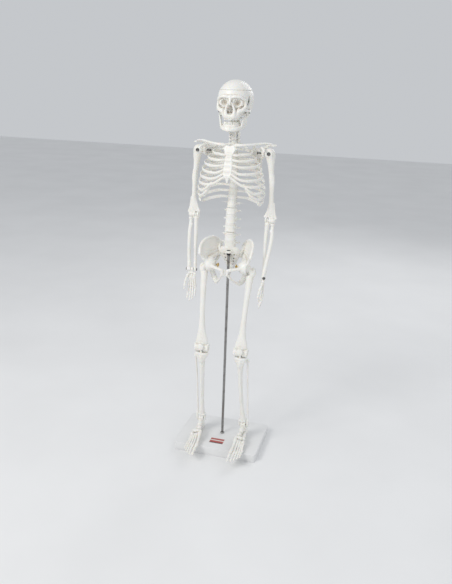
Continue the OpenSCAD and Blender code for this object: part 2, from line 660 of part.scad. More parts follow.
module tibia_left() color(bone) difference() {
    k = knee;
    a = ankle;
    union() {
        // post on the knee pin
        x_pin(k, 5.6, 4.2, 24);
        box(k - [2.1, 5, 14], k + [2.1, 5, 0]);
        // plateau
        hull() {
            translate(k - [0, 0.5, plateau + 3]) scale([16.5, 8, 1]) cylinder(r = 1, h = 3, $fn = 24);
            translate(k - [0, 0, plateau + 12]) scale([11, 7.5, 1]) cylinder(r = 1, h = 2, $fn = 16);
        }
        chain([[k.x, k.y - 6.4, k.z - 22, 3.6], [k.x - 0.5, k.y - 4, k.z - 34, 3.4]], 8);
        top = k - [0.5, 0, plateau + 8];
        low = a + [-1, 0, talus_r + 2.5];
        p = [for (t = [0, 0.07, 0.16, 0.3, 0.5, 0.7, 0.85, 0.94, 1]) mix(top, low, t) + [-1.5 * sin(180 * t), -1.5 * sin(180 * t), 0]];
        tube(p, [[12, 8.4], [9.5, 8], [6.8, 7], [5.6, 6.4], [5.2, 5.8], [5, 5.2], [5.8, 5.4], [7.4, 6.8],
            [7.8, 7.2]], up = [0, 1, 0], n = 8);
        // block over the talus, with the inner ankle
        box(a + [-10, -7, talus_r + 0.6], a + [6.6, 7, talus_r + 4]);
        chain([[a.x - 8.9, a.y, a.z + 10, 3], [a.x - 8.9, a.y, a.z + 1, 2.8], [a.x - 8.8, a.y - 0.5, a.z - 3, 2.4]], 8);
    }
    x_pin(k, knee_pin_d / 2 + run_fit, 40, 32);
    x_pin(a, ankle_pin_d / 2 + fit, 40, 24);
    // room for the talus
    x_pin(a, talus_r + 0.4, 2 * talus_half + 0.6, 24);
}

module tibia_right() right_side() tibia_left();

module fibula_left() color(bone) difference() {
    k = knee;
    a = ankle;
    union() {
        p = [[k.x + 16.4, k.y + 6.5, k.z - 19], [k.x + 16.6, k.y + 7, k.z - 24], [k.x + 16, k.y + 8, k.z - 32],
            mix(k + [15, 10, -32], a + [10, 3, 20], 0.35), mix(k + [15, 10, -32], a + [10, 3, 20], 0.7),
            a + [10, 2, 20], a + [10, 0.5, 8], a + [9.6, 0.5, -4], a + [9.2, 1, -8]];
        tube(p, [[1.8, 2.2], [3.6, 3.8], [2.2, 2.4], [2, 2.2], [2, 2.2], [2.3, 2.6], [2.9, 3.8], [2.7, 3.9],
            [1.4, 2.2]], up = [0, 1, 0]);
    }
    x_pin(a, ankle_pin_d / 2 + fit, 40, 24);
    x_pin(a, talus_r + 0.4, 2 * talus_half + 0.6, 24);
}

module fibula_right() right_side() fibula_left();

module ankle_pin_left() color(steel) x_pin(ankle + [0.4, 0, 0], ankle_pin_d / 2, 22);
module ankle_pin_right() right_side() ankle_pin_left();

sole = base_h + 1.6;

// Toes: x and y of the ball of the foot, then x and y of the tip, and thickness
toes = [[-9.5, -80, -9.5, -116, 4], [-1.8, -84, -2, -115, 3], [4, -81, 4, -109, 2.9],
    [9.4, -76, 9.6, -102, 2.9], [14.2, -69, 14.2, -94, 2.8]];

module foot(turn) color(bone) difference() {
    translate(ankle) rotate([0, 0, turn]) {
        floor_z = sole - ankle.z;
        x_pin([0, 0, 0], talus_r, 2 * talus_half, 24);
        // talus, heel and arch
        web([[0, 4, -7, 5.4], [0, -8, -7, 5.6], [0, -4, -12, 6]], 5);
        chain([[0, -4, -12, 6], [0, -18, -12, 6.4], [-2, -30, -16, 6.6]], 5);
        chain([[0, 0, -14, 7], [1.5, 9, floor_z + 11.5, 8], [1.5, 14, floor_z + 10, 8.6]], 5);
        chain([[1.5, 14, floor_z + 8.2, 8], [3, -2, floor_z + 13, 7], [5, -18, floor_z + 12, 6.4], [6, -32, floor_z + 11.5, 6]], 5);
        web([[-7, -30, -17, 5.4], [2, -34, -15.5, 5.6], [10, -32, -21, 5], [-7, -44, -20, 4.6], [11, -40, -24, 4.4]], 5);
        for (t = toes) {
            r = t[4];
            x0 = t[0] * 0.82;
            chain([[x0, -42, mix(-21, -27, (t[0] + 10) / 25), r * 1.3],
                [mix(x0, t[0], 0.6), -62, floor_z + 8 - t[0] * 0.1, r],
                [t[0], t[1], floor_z + r * 1.35, r * 1.25], [t[2], t[3], floor_z + r, r * 0.8]], 5);
        }
    }
    x_pin(ankle, ankle_pin_d / 2 + run_fit, 40, 32);
    // keep the sole flat just above the base plate
    translate([ankle.x, -60, sole - 10]) cube([100, 220, 20], center = true);
}

module foot_left() foot(left_foot_turn);
module foot_right() right_side() foot(-right_foot_turn);

// ---------------------------------------------------------------- skull

skull_mid = [0, 12, 811.5];
skull_half = [37.5, 45.5, 38.5];
skull_wall = 3;
cap_cut = 829;

module cranium(grow = 0) {
    translate(skull_mid) scale(skull_half + [grow, grow, grow]) sphere(r = 1, $fn = 18);
}

module skull_base() color(bone) difference() {
    union() {
        intersection() {
            cranium();
            translate([0, 0, cap_cut - 100]) cube([200, 200, 200], center = true);
        }
        // back of the skull base
        web([[0, 40, 790, 10], [-22, 24, 790, 9], [22, 24, 790, 9], [0, 12, 787, 8]], 5);
        for (s = [-1, 1]) {
            chain([[s * 27, 14, 787, 6], [s * 27, 10, 780, 4.4], [s * 26, 8, 776, 2.6]], 5);
            // brow and cheek
            chain([[0, -30, 817, 6], [s * 14, -29.5, 817.5, 5], [s * 27, -21, 814, 4.4]], 5);
            chain([[s * 28.5, -18, 812, 3.4], [s * 29, -17, 802, 2.6], [s * 29, -19, 792, 3.4], [s * 20, -28, 785, 4.6]], 5);
            chain([[s * 29, -19, 789, 3], [s * 34, -6, 788, 1.9], [s * 33, 4, 788, 2.4], [s * 30, 8, 788, 3.4]], 5);
            // upper jaw
            chain([[s * 6.5, -33, 797, 2.2], [s * 9, -31, 786, 3.4], [s * 8, -33, 776, 5]], 5);
            web([[s * 20, -26, 788, 4], [s * 8, -30, 780, 6], [s * 15, -20, 776, 4.4]], 5);
            web([[s * 6, -33, 773, 4.6], [s * 15, -20, 773, 4], [s * 15, -10, 775, 4]], 5);
            web([[s * 12, -4, 790, 5], [s * 14, -8, 777, 4], [s * 20, -20, 800, 4]], 5);
        }
        chain([[0, -34, 815, 3.4], [0, -37, 806, 2.6], [0, -38.5, 800, 2]], 5);
        web([[-8, -33, 772.5, 4.4], [8, -33, 772.5, 4.4], [0, -20, 774, 4]], 5);
        web([[-14, -16, 800, 9], [14, -16, 800, 9], [0, -10, 792, 9]], 5);
    }
    intersection() {
        cranium(-skull_wall);
        translate([0, 0, 790 + 50]) cube([200, 200, 100], center = true);
    }
    for (s = [-1, 1]) {
        // eye socket
        hull() {
            translate([s * 15.5, -37, 804.5]) scale([9.6, 6, 8.6]) sphere(r = 1, $fn = 8);
            translate([s * 12, -16, 802]) sphere(r = 3.4, $fn = 6);
        }
        // jaw joint
        ball([s * 28.5, jaw_axis.y, jaw_axis.z, 4.6], 8);
        x_pin([s * 26, jaw_axis.y, jaw_axis.z], 1.15, 30, 16);
    }
    // nose
    hull() { ball([0, -38, 797, 2.4], 5); ball([-4.2, -38, 788, 3], 5); ball([4.2, -38, 788, 3], 5);
        ball([0, -28, 790, 3], 5); }
    translate([0, neck_y, neck_top - 10]) cylinder(r = 1.8 + run_fit, h = 19, $fn = 32);
    translate([0, neck_y + 3, neck_top - 10 + 1]) cube([36, 30, 20], center = true);
}

module skull_cap() color(bone) difference() {
    cranium();
    cranium(-skull_wall);
    translate([0, 0, cap_cut + 0.4 - 100]) cube([200, 200, 200], center = true);
}

module mandible() color(bone) difference() {
    union() {
        for (s = [-1, 1]) {
            chain([[0, -33, 752, 5.6], [s * 9, -31.5, 752, 5.2], [s * 17, -22, 754, 4.4], [s * 24, -8, 757, 3.6],
                [s * 27, -1, 763, 3.4]], 5);
            web([[s * 27, -1, 762, 3.2], [s * 25, -10, 762, 3], [s * 28, -8, 778, 1.9], [s * 28.5, 1, 780, 2.2]], 5);
            chain([[s * 28, -10, 775, 2.2], [s * 28, -11, 781, 1.8]], 5);
            chain([[s * 28.5, 1, 778, 2.6], [s * 28.5, 2, 784, 3.6]], 5);
            web([[s * 3, -34, 757, 3.6], [s * 11, -30.5, 758, 3.4], [s * 4, -33.5, 763, 2.6], [s * 11, -29.5, 764, 2.6]], 5);
            chain([[s * 11, -29.5, 762, 3.2], [s * 17, -20, 763, 3], [s * 21, -10, 764, 2.8]], 5);
        }
    }
    x_pin(jaw_axis, 1 + run_fit, 80, 32);
}

module jaw_pins() color(steel) for (s = [-1, 1]) x_pin([s * 28, jaw_axis.y, jaw_axis.z], 1, 13);

// ---------------------------------------------------------------- nodes

base_shell();
base_cover();
cover_screws();
base_label();
support_rod();
rod_collar();
rod_nut();
rod_bush();
sacrum();
hip_bone_right();
hip_bone_left();
pubic_symphysis();
hip_screws();
lumbar_vertebrae();
thoracic_vertebrae();
cervical_vertebrae();
intervertebral_discs();
ribs_right();
ribs_left();
costal_cartilages();
sternum();
clavicle_right();
clavicle_left();
scapula_right();
scapula_left();
neck_pin();
skull_base();
skull_cap();
mandible();
jaw_pins();
shoulder_eye_right();
shoulder_eye_left();
humerus_right();
humerus_left();
shoulder_bolt_right();
shoulder_bolt_left();
elbow_pin_right();
elbow_pin_left();
ulna_right();
ulna_left();
radius_right();
radius_left();
wrist_screw_right();
wrist_screw_left();
hand_right();
hand_left();
femur_right();
femur_left();
patella_right();
patella_left();
knee_pin_right();
knee_pin_left();
tibia_right();
tibia_left();
fibula_right();
fibula_left();
ankle_pin_right();
ankle_pin_left();
foot_right();
foot_left();
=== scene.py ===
import json
import math

import bmesh
import bpy
import numpy as np
from mathutils import Matrix, Vector


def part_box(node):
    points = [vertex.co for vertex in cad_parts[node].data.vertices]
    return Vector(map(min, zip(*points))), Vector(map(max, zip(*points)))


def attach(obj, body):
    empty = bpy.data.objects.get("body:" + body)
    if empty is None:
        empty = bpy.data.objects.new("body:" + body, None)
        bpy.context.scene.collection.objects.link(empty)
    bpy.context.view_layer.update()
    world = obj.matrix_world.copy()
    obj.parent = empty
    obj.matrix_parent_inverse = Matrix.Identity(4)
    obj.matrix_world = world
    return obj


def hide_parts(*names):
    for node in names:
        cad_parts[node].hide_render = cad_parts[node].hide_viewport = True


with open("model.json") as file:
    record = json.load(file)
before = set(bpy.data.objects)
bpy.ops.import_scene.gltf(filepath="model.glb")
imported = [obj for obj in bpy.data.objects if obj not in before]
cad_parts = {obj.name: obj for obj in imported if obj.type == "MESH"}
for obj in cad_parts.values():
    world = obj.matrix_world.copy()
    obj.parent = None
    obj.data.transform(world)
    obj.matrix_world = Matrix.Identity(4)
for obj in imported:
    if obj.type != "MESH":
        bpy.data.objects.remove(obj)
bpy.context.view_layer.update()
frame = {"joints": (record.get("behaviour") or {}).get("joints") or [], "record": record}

# Everything below is in millimetres until a mesh is made. +X is the skeleton's left, -Y its front.
MM = 0.001
RECORD = frame["record"]
BODY_OF = {n: body for body, nodes in RECORD["behaviour"]["bodies"].items() for n in nodes}
SLOT_OF = {row["node"]: row["material_slot"] for row in RECORD["subparts"]}
JOINT = {j["name"]: np.array(j["pos_m"]) / MM for j in frame["joints"] if "pos_m" in j}
SHOULDER = JOINT["left_shoulder_swing"]
ELBOW = JOINT["left_elbow"]
WRIST = JOINT["left_wrist"]
HIP = JOINT["left_hip"]
KNEE = JOINT["left_knee"]
ANKLE = JOINT["left_ankle"]
NECK = JOINT["head_turn"]
JAW = JOINT["jaw_open"]
LEFT_WRIST_AXIS = next(j["axis"] for j in frame["joints"] if j["name"] == "left_wrist")
FOREARM_TURN = math.atan2(LEFT_WRIST_AXIS[1], -LEFT_WRIST_AXIS[0])
FOOT_TURN = {"right": math.radians(-2.5), "left": math.radians(1)}
FAR = 30.0
X, Y, Z = np.eye(3)


# ---------------------------------------------------------------- shapes and clay


def vec(*p):
    return np.array(p, float)


def unit(v):
    return np.asarray(v, float) / np.linalg.norm(v)


def mix(a, b, t):
    return a + (b - a) * t


def ease(t):
    t = np.clip(t, 0, 1)
    return t * t * (3 - 2 * t)


def along(x, table):
    """Value at x on the straight pieces between the (x, value) pairs of a rising table."""
    xs, values = zip(*table)
    return np.interp(x, xs, values)


def curve(rows, steps=3):
    """Rows of numbers joined by a smooth curve, with steps points from each row to the next."""
    rows = np.array(rows, float)
    ends = np.vstack([2 * rows[0] - rows[1], rows, 2 * rows[-1] - rows[-2]])
    out = []
    for i in range(1, len(ends) - 2):
        a, b, c, d = ends[i - 1 : i + 3]
        for t in np.arange(steps) / steps:
            out.append(b + 0.5 * t * (c - a + t * (2 * a - 5 * b + 4 * c - d + t * (3 * (b - c) + d - a))))
    return np.array(out + [rows[-1]])


def spin(axis, angle):
    """Rotation about an axis, as a 3 x 3 array. The angle is in radians."""
    return np.array(Matrix.Rotation(angle, 3, Vector(axis)))


class Clay:
    """A solid held as distances on a grid. A shape is (lowest corner, highest corner, distance function)."""

    def __init__(self, lo, hi, step, mirrored=False):
        self.step = step
        self.mirrored = mirrored
        lo = np.array(lo, float)
        if mirrored:
            lo[0] = -step
        self.lo = lo
        size = np.ceil((np.array(hi) - lo) / step).astype(int) + 1
        self.d = np.full(size, FAR, np.float32)
        self.axes = [(lo[i] + step * np.arange(size[i])).astype(np.float32) for i in range(3)]
        self.origin = np.zeros(3)
        self.turn = np.eye(3)

    def place(self, origin=(0, 0, 0), turn=None):
        """Shapes added after this are given in a frame at origin, turned by turn."""
        self.origin = np.array(origin, float)
        self.turn = np.eye(3) if turn is None else turn

    def window(self, lo, hi):
        corners = np.array([[x, y, z] for x in (lo[0], hi[0]) for y in (lo[1], hi[1]) for z in (lo[2],
            hi[2])])
        corners = corners @ self.turn.T + self.origin
        first = np.floor((corners.min(0) - self.lo) / self.step).astype(int)
        last = np.ceil((corners.max(0) - self.lo) / self.step).astype(int) + 1
        first, last = np.maximum(first, 0), np.minimum(last, self.d.shape)
        if (last <= first).any():
            return None, None
        cells = tuple(slice(a, b) for a, b in zip(first, last))
        gx, gy, gz = (self.axes[i][cells[i]] - np.float32(self.origin[i]) for i in range(3))
        gx, gy, gz = gx[:, None, None], gy[None, :, None], gz[None, None, :]
        if np.array_equal(self.turn, np.eye(3)):
            return cells, (gx, gy, gz)
        t = self.turn.astype(np.float32)
        return cells, tuple(gx * t[0, i] + gy * t[1, i] + gz * t[2, i] for i in range(3))

    def distances(self, shapes, margin):
        """Joined distance of some shapes, and the grid cells that it covers."""
        lo = np.min([s[0] for s in shapes], axis=0) - margin
        hi = np.max([s[1] for s in shapes], axis=0) + margin
        cells, _ = self.window(lo, hi)
        if cells is None:
            return None, None
        held = np.full([c.stop - c.start for c in cells], FAR, np.float32)
        for low, high, distance in shapes:
            part, p = self.window(low - margin, high + margin)
            if part is None:
                continue
            inner = tuple(slice(a.start - c.start, a.stop - c.start) for a, c in zip(part, cells))
            held[inner] = np.minimum(held[inner], distance(*p))
        return cells, held

    def add(self, shapes, soft=1.0):
        shapes = shapes if isinstance(shapes, list) else [shapes]
        cells, b = self.distances(shapes, soft + 2 * self.step)
        if cells is not None:
            a = self.d[cells]
            self.d[cells] = np.minimum(a, b) - np.maximum(soft - abs(a - b), 0) ** 2 / (4 * soft)
        return self

    def cut(self, shapes, soft=0.5):
        shapes = shapes if isinstance(shapes, list) else [shapes]
        cells, b = self.distances(shapes, soft + 2 * self.step)
        if cells is not None:
            a = self.d[cells]
            self.d[cells] = np.maximum(a, -b) + np.maximum(soft - abs(a + b), 0) ** 2 / (4 * soft)
        return self

    def keep(self, axis, low=-1e6, high=1e6):
        """Everything outside low to high on one world axis goes."""
        line = self.axes[axis].reshape([-1 if i == axis else 1 for i in range(3)])
        self.d = np.maximum(self.d, np.maximum(low - line, line - high))
        return self

    def copy(self):
        other = Clay.__new__(Clay)
        other.__dict__.update(self.__dict__)
        other.d = self.d.copy()
        return other

    def hollows(self, d, points):
        """How deep in a hollow each point lies, from 0 in the open to 1, by how full its surroundings are."""
        reach = max(2, round(3.0 / self.step))
        full = np.clip(0.5 - d / (2 * self.step), 0, 1)
        for axis in range(3):
            total = np.cumsum(np.pad(full, [(reach + 1, reach) if i == axis else (0, 0) for i in range(3)],
                mode="edge"), axis=axis, dtype=np.float64)
            n = full.shape[axis]
            high = np.take(total, np.arange(2 * reach + 1, 2 * reach + 1 + n), axis=axis)
            full = ((high - np.take(total, np.arange(n), axis=axis)) / (2 * reach + 1)).astype(np.float32)
        near = tuple(np.clip(np.rint(points).astype(int), 0, np.array(d.shape) - 1).T)
        return np.clip((full[near] - 0.42) / 0.4, 0, 1)

    def mesh(self, smooth=2):
        """Points, four-sided faces and hollows of the surface."""
        d, lo = self.d, self.lo.copy()
        if self.mirrored:
            d = np.concatenate([d[:1:-1], d[1:]], axis=0)
            lo[0] = -self.step * (self.d.shape[0] - 2)
        d = np.pad(d, 1, constant_values=FAR)
        lo -= self.step
        inside = d < 0
        corners = [(i, j, k) for i in (0, 1) for j in (0, 1) for k in (0, 1)]
        n = np.array(d.shape) - 1
        count = sum(inside[i : i + n[0], j : j + n[1], k : k + n[2]].astype(np.int8) for i, j, k in corners)
        cells = np.argwhere((count > 0) & (count < 8))
        number = np.full(n, -1, np.int32)
        number[tuple(cells.T)] = np.arange(len(cells))
        total = np.zeros((len(cells), 3))
        hits = np.zeros(len(cells))
        value = {c: d[tuple((cells + c).T)] for c in corners}
        for a in corners:
            for axis in range(3):
                if a[axis]:
                    continue
                b = tuple(a[i] + (i == axis) for i in range(3))
                crossed = (value[a] < 0) != (value[b] < 0)
                share = np.where(crossed, value[a] / np.where(crossed, value[a] - value[b], 1), 0)
                point = np.array(a, float) + share[:, None] * np.eye(3)[axis]
                total += point * crossed[:, None]
                hits += crossed
        points = cells + total / hits[:, None]
        faces = []
        for axis in range(3):
            low = [slice(1, -1)] * 3
            low[axis] = slice(0, -1)
            high = list(low)
            high[axis] = slice(1, None)
            low_in, high_in = inside[tuple(low)], inside[tuple(high)]
            u, v = (axis + 1) % 3, (axis + 2) % 3
            for flip, found in ((False, low_in & ~high_in), (True, ~low_in & high_in)):
                at = np.argwhere(found)
                at += [0 if i == axis else 1 for i in range(3)]
                ring = []
                for du, dv in ((-1, -1), (0, -1), (0, 0), (-1, 0)):
                    c = at.copy()
                    c[:, u] += du
                    c[:, v] += dv
                    ring.append(number[tuple(c.T)])
                faces.append(np.stack(ring[::-1] if flip else ring, axis=1))
        faces = np.concatenate(faces)
        hollow = self.hollows(d, points)
        ends = np.concatenate([faces, np.roll(faces, -1, axis=1)]).ravel(), np.concatenate(
            [np.roll(faces, -1, axis=1), faces]).ravel()
        degree = np.bincount(ends[0], minlength=len(points))
        for pull in [0.5, -0.52] * smooth:
            mean = np.stack([np.bincount(ends[0], points[ends[1], i], len(points)) for i in range(3)], axis=1)
            points = points + pull * (mean / degree[:, None] - points)
        return lo + points * self.step, faces, hollow


def ball(c, r):
    """Sphere, or an ellipsoid where r has three values."""
    c = vec(*c)
    r = np.broadcast_to(np.array(r, float), 3)

    def distance(x, y, z):
        x, y, z = x - c[0], y - c[1], z - c[2]
        near = np.sqrt((x / r[0]) ** 2 + (y / r[1]) ** 2 + (z / r[2]) ** 2)
        slope = np.sqrt((x / r[0] ** 2) ** 2 + (y / r[1] ** 2) ** 2 + (z / r[2] ** 2) ** 2)
        return near * (near - 1) / np.maximum(slope, 1e-4)

    return c - r, c + r, distance


def bar(a, b, thin=None):
    """Rounded bar from row a to row b. A row is x, y, z, radius and, with thin, the half-size along thin."""
    pa, pb, ra, rb = a[:3], b[:3], a[3], b[3]
    run = pb - pa
    length = max(run @ run, 1e-9)

    def distance(x, y, z):
        x, y, z = x - pa[0], y - pa[1], z - pa[2]
        t = np.clip((x * run[0] + y * run[1] + z * run[2]) / length, 0, 1)
        x, y, z = x - t * run[0], y - t * run[1], z - t * run[2]
        r = ra + (rb - ra) * t
        if thin is None:
            return np.sqrt(x * x + y * y + z * z) - r
        squeeze = r / (a[4] + (b[4] - a[4]) * t)
        side = x * thin[0] + y * thin[1] + z * thin[2]
        flat = x * x + y * y + z * z - side * side
        near = np.sqrt(flat + (side * squeeze) ** 2)
        slope = np.sqrt(flat + (side * squeeze**2) ** 2)
        return (near - r) * near / np.maximum(slope, 1e-3)

    reach = max(a[3:5].max(), b[3:5].max()) if thin is not None else max(ra, rb)
    return np.minimum(pa, pb) - reach, np.maximum(pa, pb) + reach, distance


def limb(rows, thin=None, steps=3):
    """Bars joined along a smooth curve. thin is one direction, or one for each row."""
    rows = np.array(rows, float)
    if thin is not None and np.ndim(thin) == 2:
        rows = np.hstack([rows, thin])
    rows = curve(rows, steps)
    rows[:, 3] = np.maximum(rows[:, 3], 0.3)
    shapes = []
    for a, b in zip(rows[:-1], rows[1:]):
        flat = thin
        if thin is not None:
            flat = unit(a[5:8] + b[5:8]) if np.ndim(thin) == 2 else unit(thin)
        shapes.append(bar(a, b, flat))
    return shapes


def drum(a, b, r, r2=None, rim=0.4):
    """Cylinder or cone from a to b with its rims rounded."""
    a, b = vec(*a), vec(*b)
    axis, length, r2 = unit(b - a), np.linalg.norm(b - a), r if r2 is None else r2

    def distance(x, y, z):
        x, y, z = x - a[0], y - a[1], z - a[2]
        t = x * axis[0] + y * axis[1] + z * axis[2]
        out = np.sqrt(np.maximum(x * x + y * y + z * z - t * t, 0)) - r - (r2 - r) * t / length + rim
        end = abs(t - length / 2) - length / 2 + rim
        return np.minimum(np.maximum(out, end), 0) + np.hypot(np.maximum(out, 0), np.maximum(end, 0)) - rim

    reach = max(r, r2)
    return np.minimum(a, b) - reach, np.maximum(a, b) + reach, distance


def block(lo, hi, rim=0.4):
    lo, hi = vec(*lo), vec(*hi)
    mid, half = (lo + hi) / 2, (hi - lo) / 2 - rim

    def distance(x, y, z):
        x, y, z = abs(x - mid[0]) - half[0], abs(y - mid[1]) - half[1], abs(z - mid[2]) - half[2]
        out = np.sqrt(np.maximum(x, 0) ** 2 + np.maximum(y, 0) ** 2 + np.maximum(z, 0) ** 2)
        return out + np.minimum(np.maximum(x, np.maximum(y, z)), 0) - rim

    return lo, hi, distance


def outline_field(points, cell=0.5, margin=12):
    """Signed distance to a closed outline, as a function of two coordinates."""
    points = np.array(points, float)
    ring = curve(np.vstack([points[-1:], points, points[:2]]), 4)[4:-4]
    lo = points.min(0) - margin
    n = np.ceil((points.max(0) + margin - lo) / cell).astype(int) + 1
    a, b = np.meshgrid(*(lo[i] + cell * np.arange(n[i]) for i in range(2)), indexing="ij")
    best = np.full(a.shape, 1e9)
    inside = np.zeros(a.shape, bool)
    for p, q in zip(ring, np.roll(ring, -1, axis=0)):
        e = q - p
        t = np.clip(((a - p[0]) * e[0] + (b - p[1]) * e[1]) / max(e @ e, 1e-9), 0, 1)
        best = np.minimum(best, (a - p[0] - t * e[0]) ** 2 + (b - p[1] - t * e[1]) ** 2)
        if p[1] != q[1]:
            inside ^= ((p[1] > b) != (q[1] > b)) & (a < (q[0] - p[0]) * (b - p[1]) / (q[1] - p[1]) + p[0])
    field = np.where(inside, -1, 1) * np.sqrt(best)

    def distance(a, b):
        s = np.clip((a - lo[0]) / cell, 0, n[0] - 1.001)
        t = np.clip((b - lo[1]) / cell, 0, n[1] - 1.001)
        i, j = s.astype(int), t.astype(int)
        s, t = s - i, t - j
        near = field[i, j] * (1 - s) + field[i + 1, j] * s
        return near * (1 - t) + (field[i, j + 1] * (1 - s) + field[i + 1, j + 1] * s) * t

    return distance


def plate(outline, origin, u, v, half, dome=None, rim=1.0):
    """Plate over a smooth outline in the plane of u and v at origin. half is its half-thickness, a number or
    a function of the two plane coordinates and the edge distance. dome is such a function too, and lifts the
    middle surface."""
    origin, u = vec(*origin), unit(u)
    w = unit(np.cross(u, v))
    v = np.cross(w, u)
    edge = outline_field(outline)
    flat = np.array(outline, float)
    corners = [origin + a * u + b * v for a in (flat[:, 0].min(), flat[:, 0].max())
        for b in (flat[:, 1].min(), flat[:, 1].max())]
    reach = 9 if dome else 4

    def distance(x, y, z):
        x, y, z = x - origin[0], y - origin[1], z - origin[2]
        a, b, c = (x * e[0] + y * e[1] + z * e[2] for e in (u, v, w))
        e = edge(a, b)
        lift = dome(a, b, e) if dome else 0
        thick = half(a, b, e) if callable(half) else half
        out, side = e + rim, abs(c - lift) - thick + rim
        return np.minimum(np.maximum(out, side), 0) + np.hypot(np.maximum(out, 0), np.maximum(side, 0)) - rim

    return np.min(corners, axis=0) - reach, np.max(corners, axis=0) + reach, distance


# ---------------------------------------------------------------- making pieces


def blender_mesh(name, points, faces, hollow=None):
    """Smooth-shaded Blender object of a mesh in millimetres."""
    faces = np.asarray(faces)
    mesh = bpy.data.meshes.new(name)
    mesh.vertices.add(len(points))
    mesh.vertices.foreach_set("co", (np.asarray(points) * MM).astype(np.float32).ravel())
    mesh.loops.add(faces.size)
    mesh.loops.foreach_set("vertex_index", faces.astype(np.int32).ravel())
    mesh.polygons.add(len(faces))
    mesh.polygons.foreach_set("loop_start", np.arange(0, faces.size, faces.shape[1], dtype=np.int32))
    mesh.update(calc_edges=True)
    mesh.validate()
    mesh.shade_smooth()
    if hollow is not None:
        mesh.attributes.new("hollow", "FLOAT", "POINT").data.foreach_set("value", hollow.astype(np.float32))
    piece = bpy.data.objects.new(name, mesh)
    bpy.context.scene.collection.objects.link(piece)
    return piece


def stands_for(piece, node, body=None, slot=None):
    """The piece moves with the node's body and hides the node."""
    body, slot = body or BODY_OF[node], slot or SLOT_OF[node]
    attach(piece, body)
    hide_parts(node)
    piece.data.materials.append(MATERIALS[slot])
    return piece


def finished(clay, node, smooth=2):
    """Piece made from clay in place of a CAD node."""
    return stands_for(blender_mesh("look_" + node, *clay.mesh(smooth)), node)


def mirrored_pair(clay, stem, smooth=2):
    """The left piece and its mirror twin."""
    points, faces, hollow = clay.mesh(smooth)
    stands_for(blender_mesh(f"look_{stem}_left", points, faces, hollow), f"{stem}_left")
    flipped = points * [-1, 1, 1]
    stands_for(blender_mesh(f"look_{stem}_right", flipped, faces[:, ::-1], hollow), f"{stem}_right")


def lathe(name, profile, origin, axis, sides=40, bevel=0.0):
    """Turned piece: profile is a closed loop of (radius, distance along the axis) in millimetres."""
    bm = bmesh.new()
    axis = Vector(axis).normalized()
    place = Matrix.Translation(Vector(origin)) @ Vector((0, 0,
        1)).rotation_difference(axis).to_matrix().to_4x4()
    rings = []
    for radius, height in profile:
        if radius < 1e-6:
            rings.append([bm.verts.new(place @ Vector((0, 0, height)))] * sides)
            continue
        rings.append([bm.verts.new(place @ Vector((radius * math.cos(a), radius * math.sin(a), height)))
            for a in (2 * math.pi * i / sides for i in range(sides))])
    for low, high in zip(rings, rings[1:] + rings[:1]):
        for i in range(sides):
            j = (i + 1) % sides
            corner = list(dict.fromkeys([low[i], low[j], high[j], high[i]]))
            if len(corner) > 2:
                bm.faces.new(corner)
    return bmesh_piece(name, bm, bevel)


def bmesh_piece(name, bm, bevel=0.0, segments=2, angle=35):
    """Object from a bmesh in millimetres, with its edges bevelled and its creases kept sharp."""
    bmesh.ops.recalc_face_normals(bm, faces=bm.faces)
    bmesh.ops.scale(bm, vec=(MM, MM, MM), verts=bm.verts)
    mesh = bpy.data.meshes.new(name)
    bm.to_mesh(mesh)
    bm.free()
    piece = bpy.data.objects.new(name, mesh)
    bpy.context.scene.collection.objects.link(piece)
    if bevel:
        modifier = piece.modifiers.new("Bevel", "BEVEL")
        modifier.width, modifier.segments, modifier.limit_method = bevel * MM, segments, "ANGLE"
        modifier.angle_limit = math.radians(angle)
        graph = bpy.context.evaluated_depsgraph_get()
        piece.data = bpy.data.meshes.new_from_object(piece.evaluated_get(graph))
        piece.modifiers.clear()
    piece.data.shade_smooth()
    piece.data.set_sharp_from_angle(angle=math.radians(angle))
    return piece


def prism(name, outline, z0, z1, origin, axis, hole=0.0, bevel=0.2):
    """Extruded outline along an axis, with an optional shallow dish, hole in from the edge."""
    bm = bmesh.new()
    place = Matrix.Translation(Vector(origin)) @ Vector((0, 0,
        1)).rotation_difference(Vector(axis)).to_matrix().to_4x4()
    low = [bm.verts.new(place @ Vector((x, y, z0))) for x, y in outline]
    high = [bm.verts.new(place @ Vector((x, y, z1))) for x, y in outline]
    n = len(outline)
    bm.faces.new(low[::-1])
    top = bm.faces.new(high)
    for i in range(n):
        bm.faces.new([low[i], low[(i + 1) % n], high[(i + 1) % n], high[i]])
    if hole:
        bmesh.ops.inset_region(bm, faces=[top], thickness=hole, depth=0.0)
        bmesh.ops.inset_region(bm, faces=[top], thickness=0.15, depth=-min(0.6, (z1 - z0) / 2))
    return bmesh_piece(name, bm, bevel)


def joined(name, parts):
    """One object from several."""
    with bpy.context.temp_override(active_object=parts[0], selected_editable_objects=parts):
        bpy.ops.object.join()
    parts[0].name = parts[0].data.name = name
    return parts[0]


def hexagon(r):
    return [(r * math.cos(a), r * math.sin(a)) for a in (math.radians(60 * i + 30) for i in range(6))]


def rounded_rectangle(w, d, r, n=8):
    corners = [(w / 2 - r, d / 2 - r, 0), (r - w / 2, d / 2 - r, 90), (r - w / 2, r - d / 2, 180),
        (w / 2 - r, r - d / 2, 270)]
    return [(x + r * math.cos(math.radians(a + 90 * i / n)), y + r * math.sin(math.radians(a + 90 * i / n)))
        for x, y, a in corners for i in range(n + 1)]


# ---------------------------------------------------------------- materials


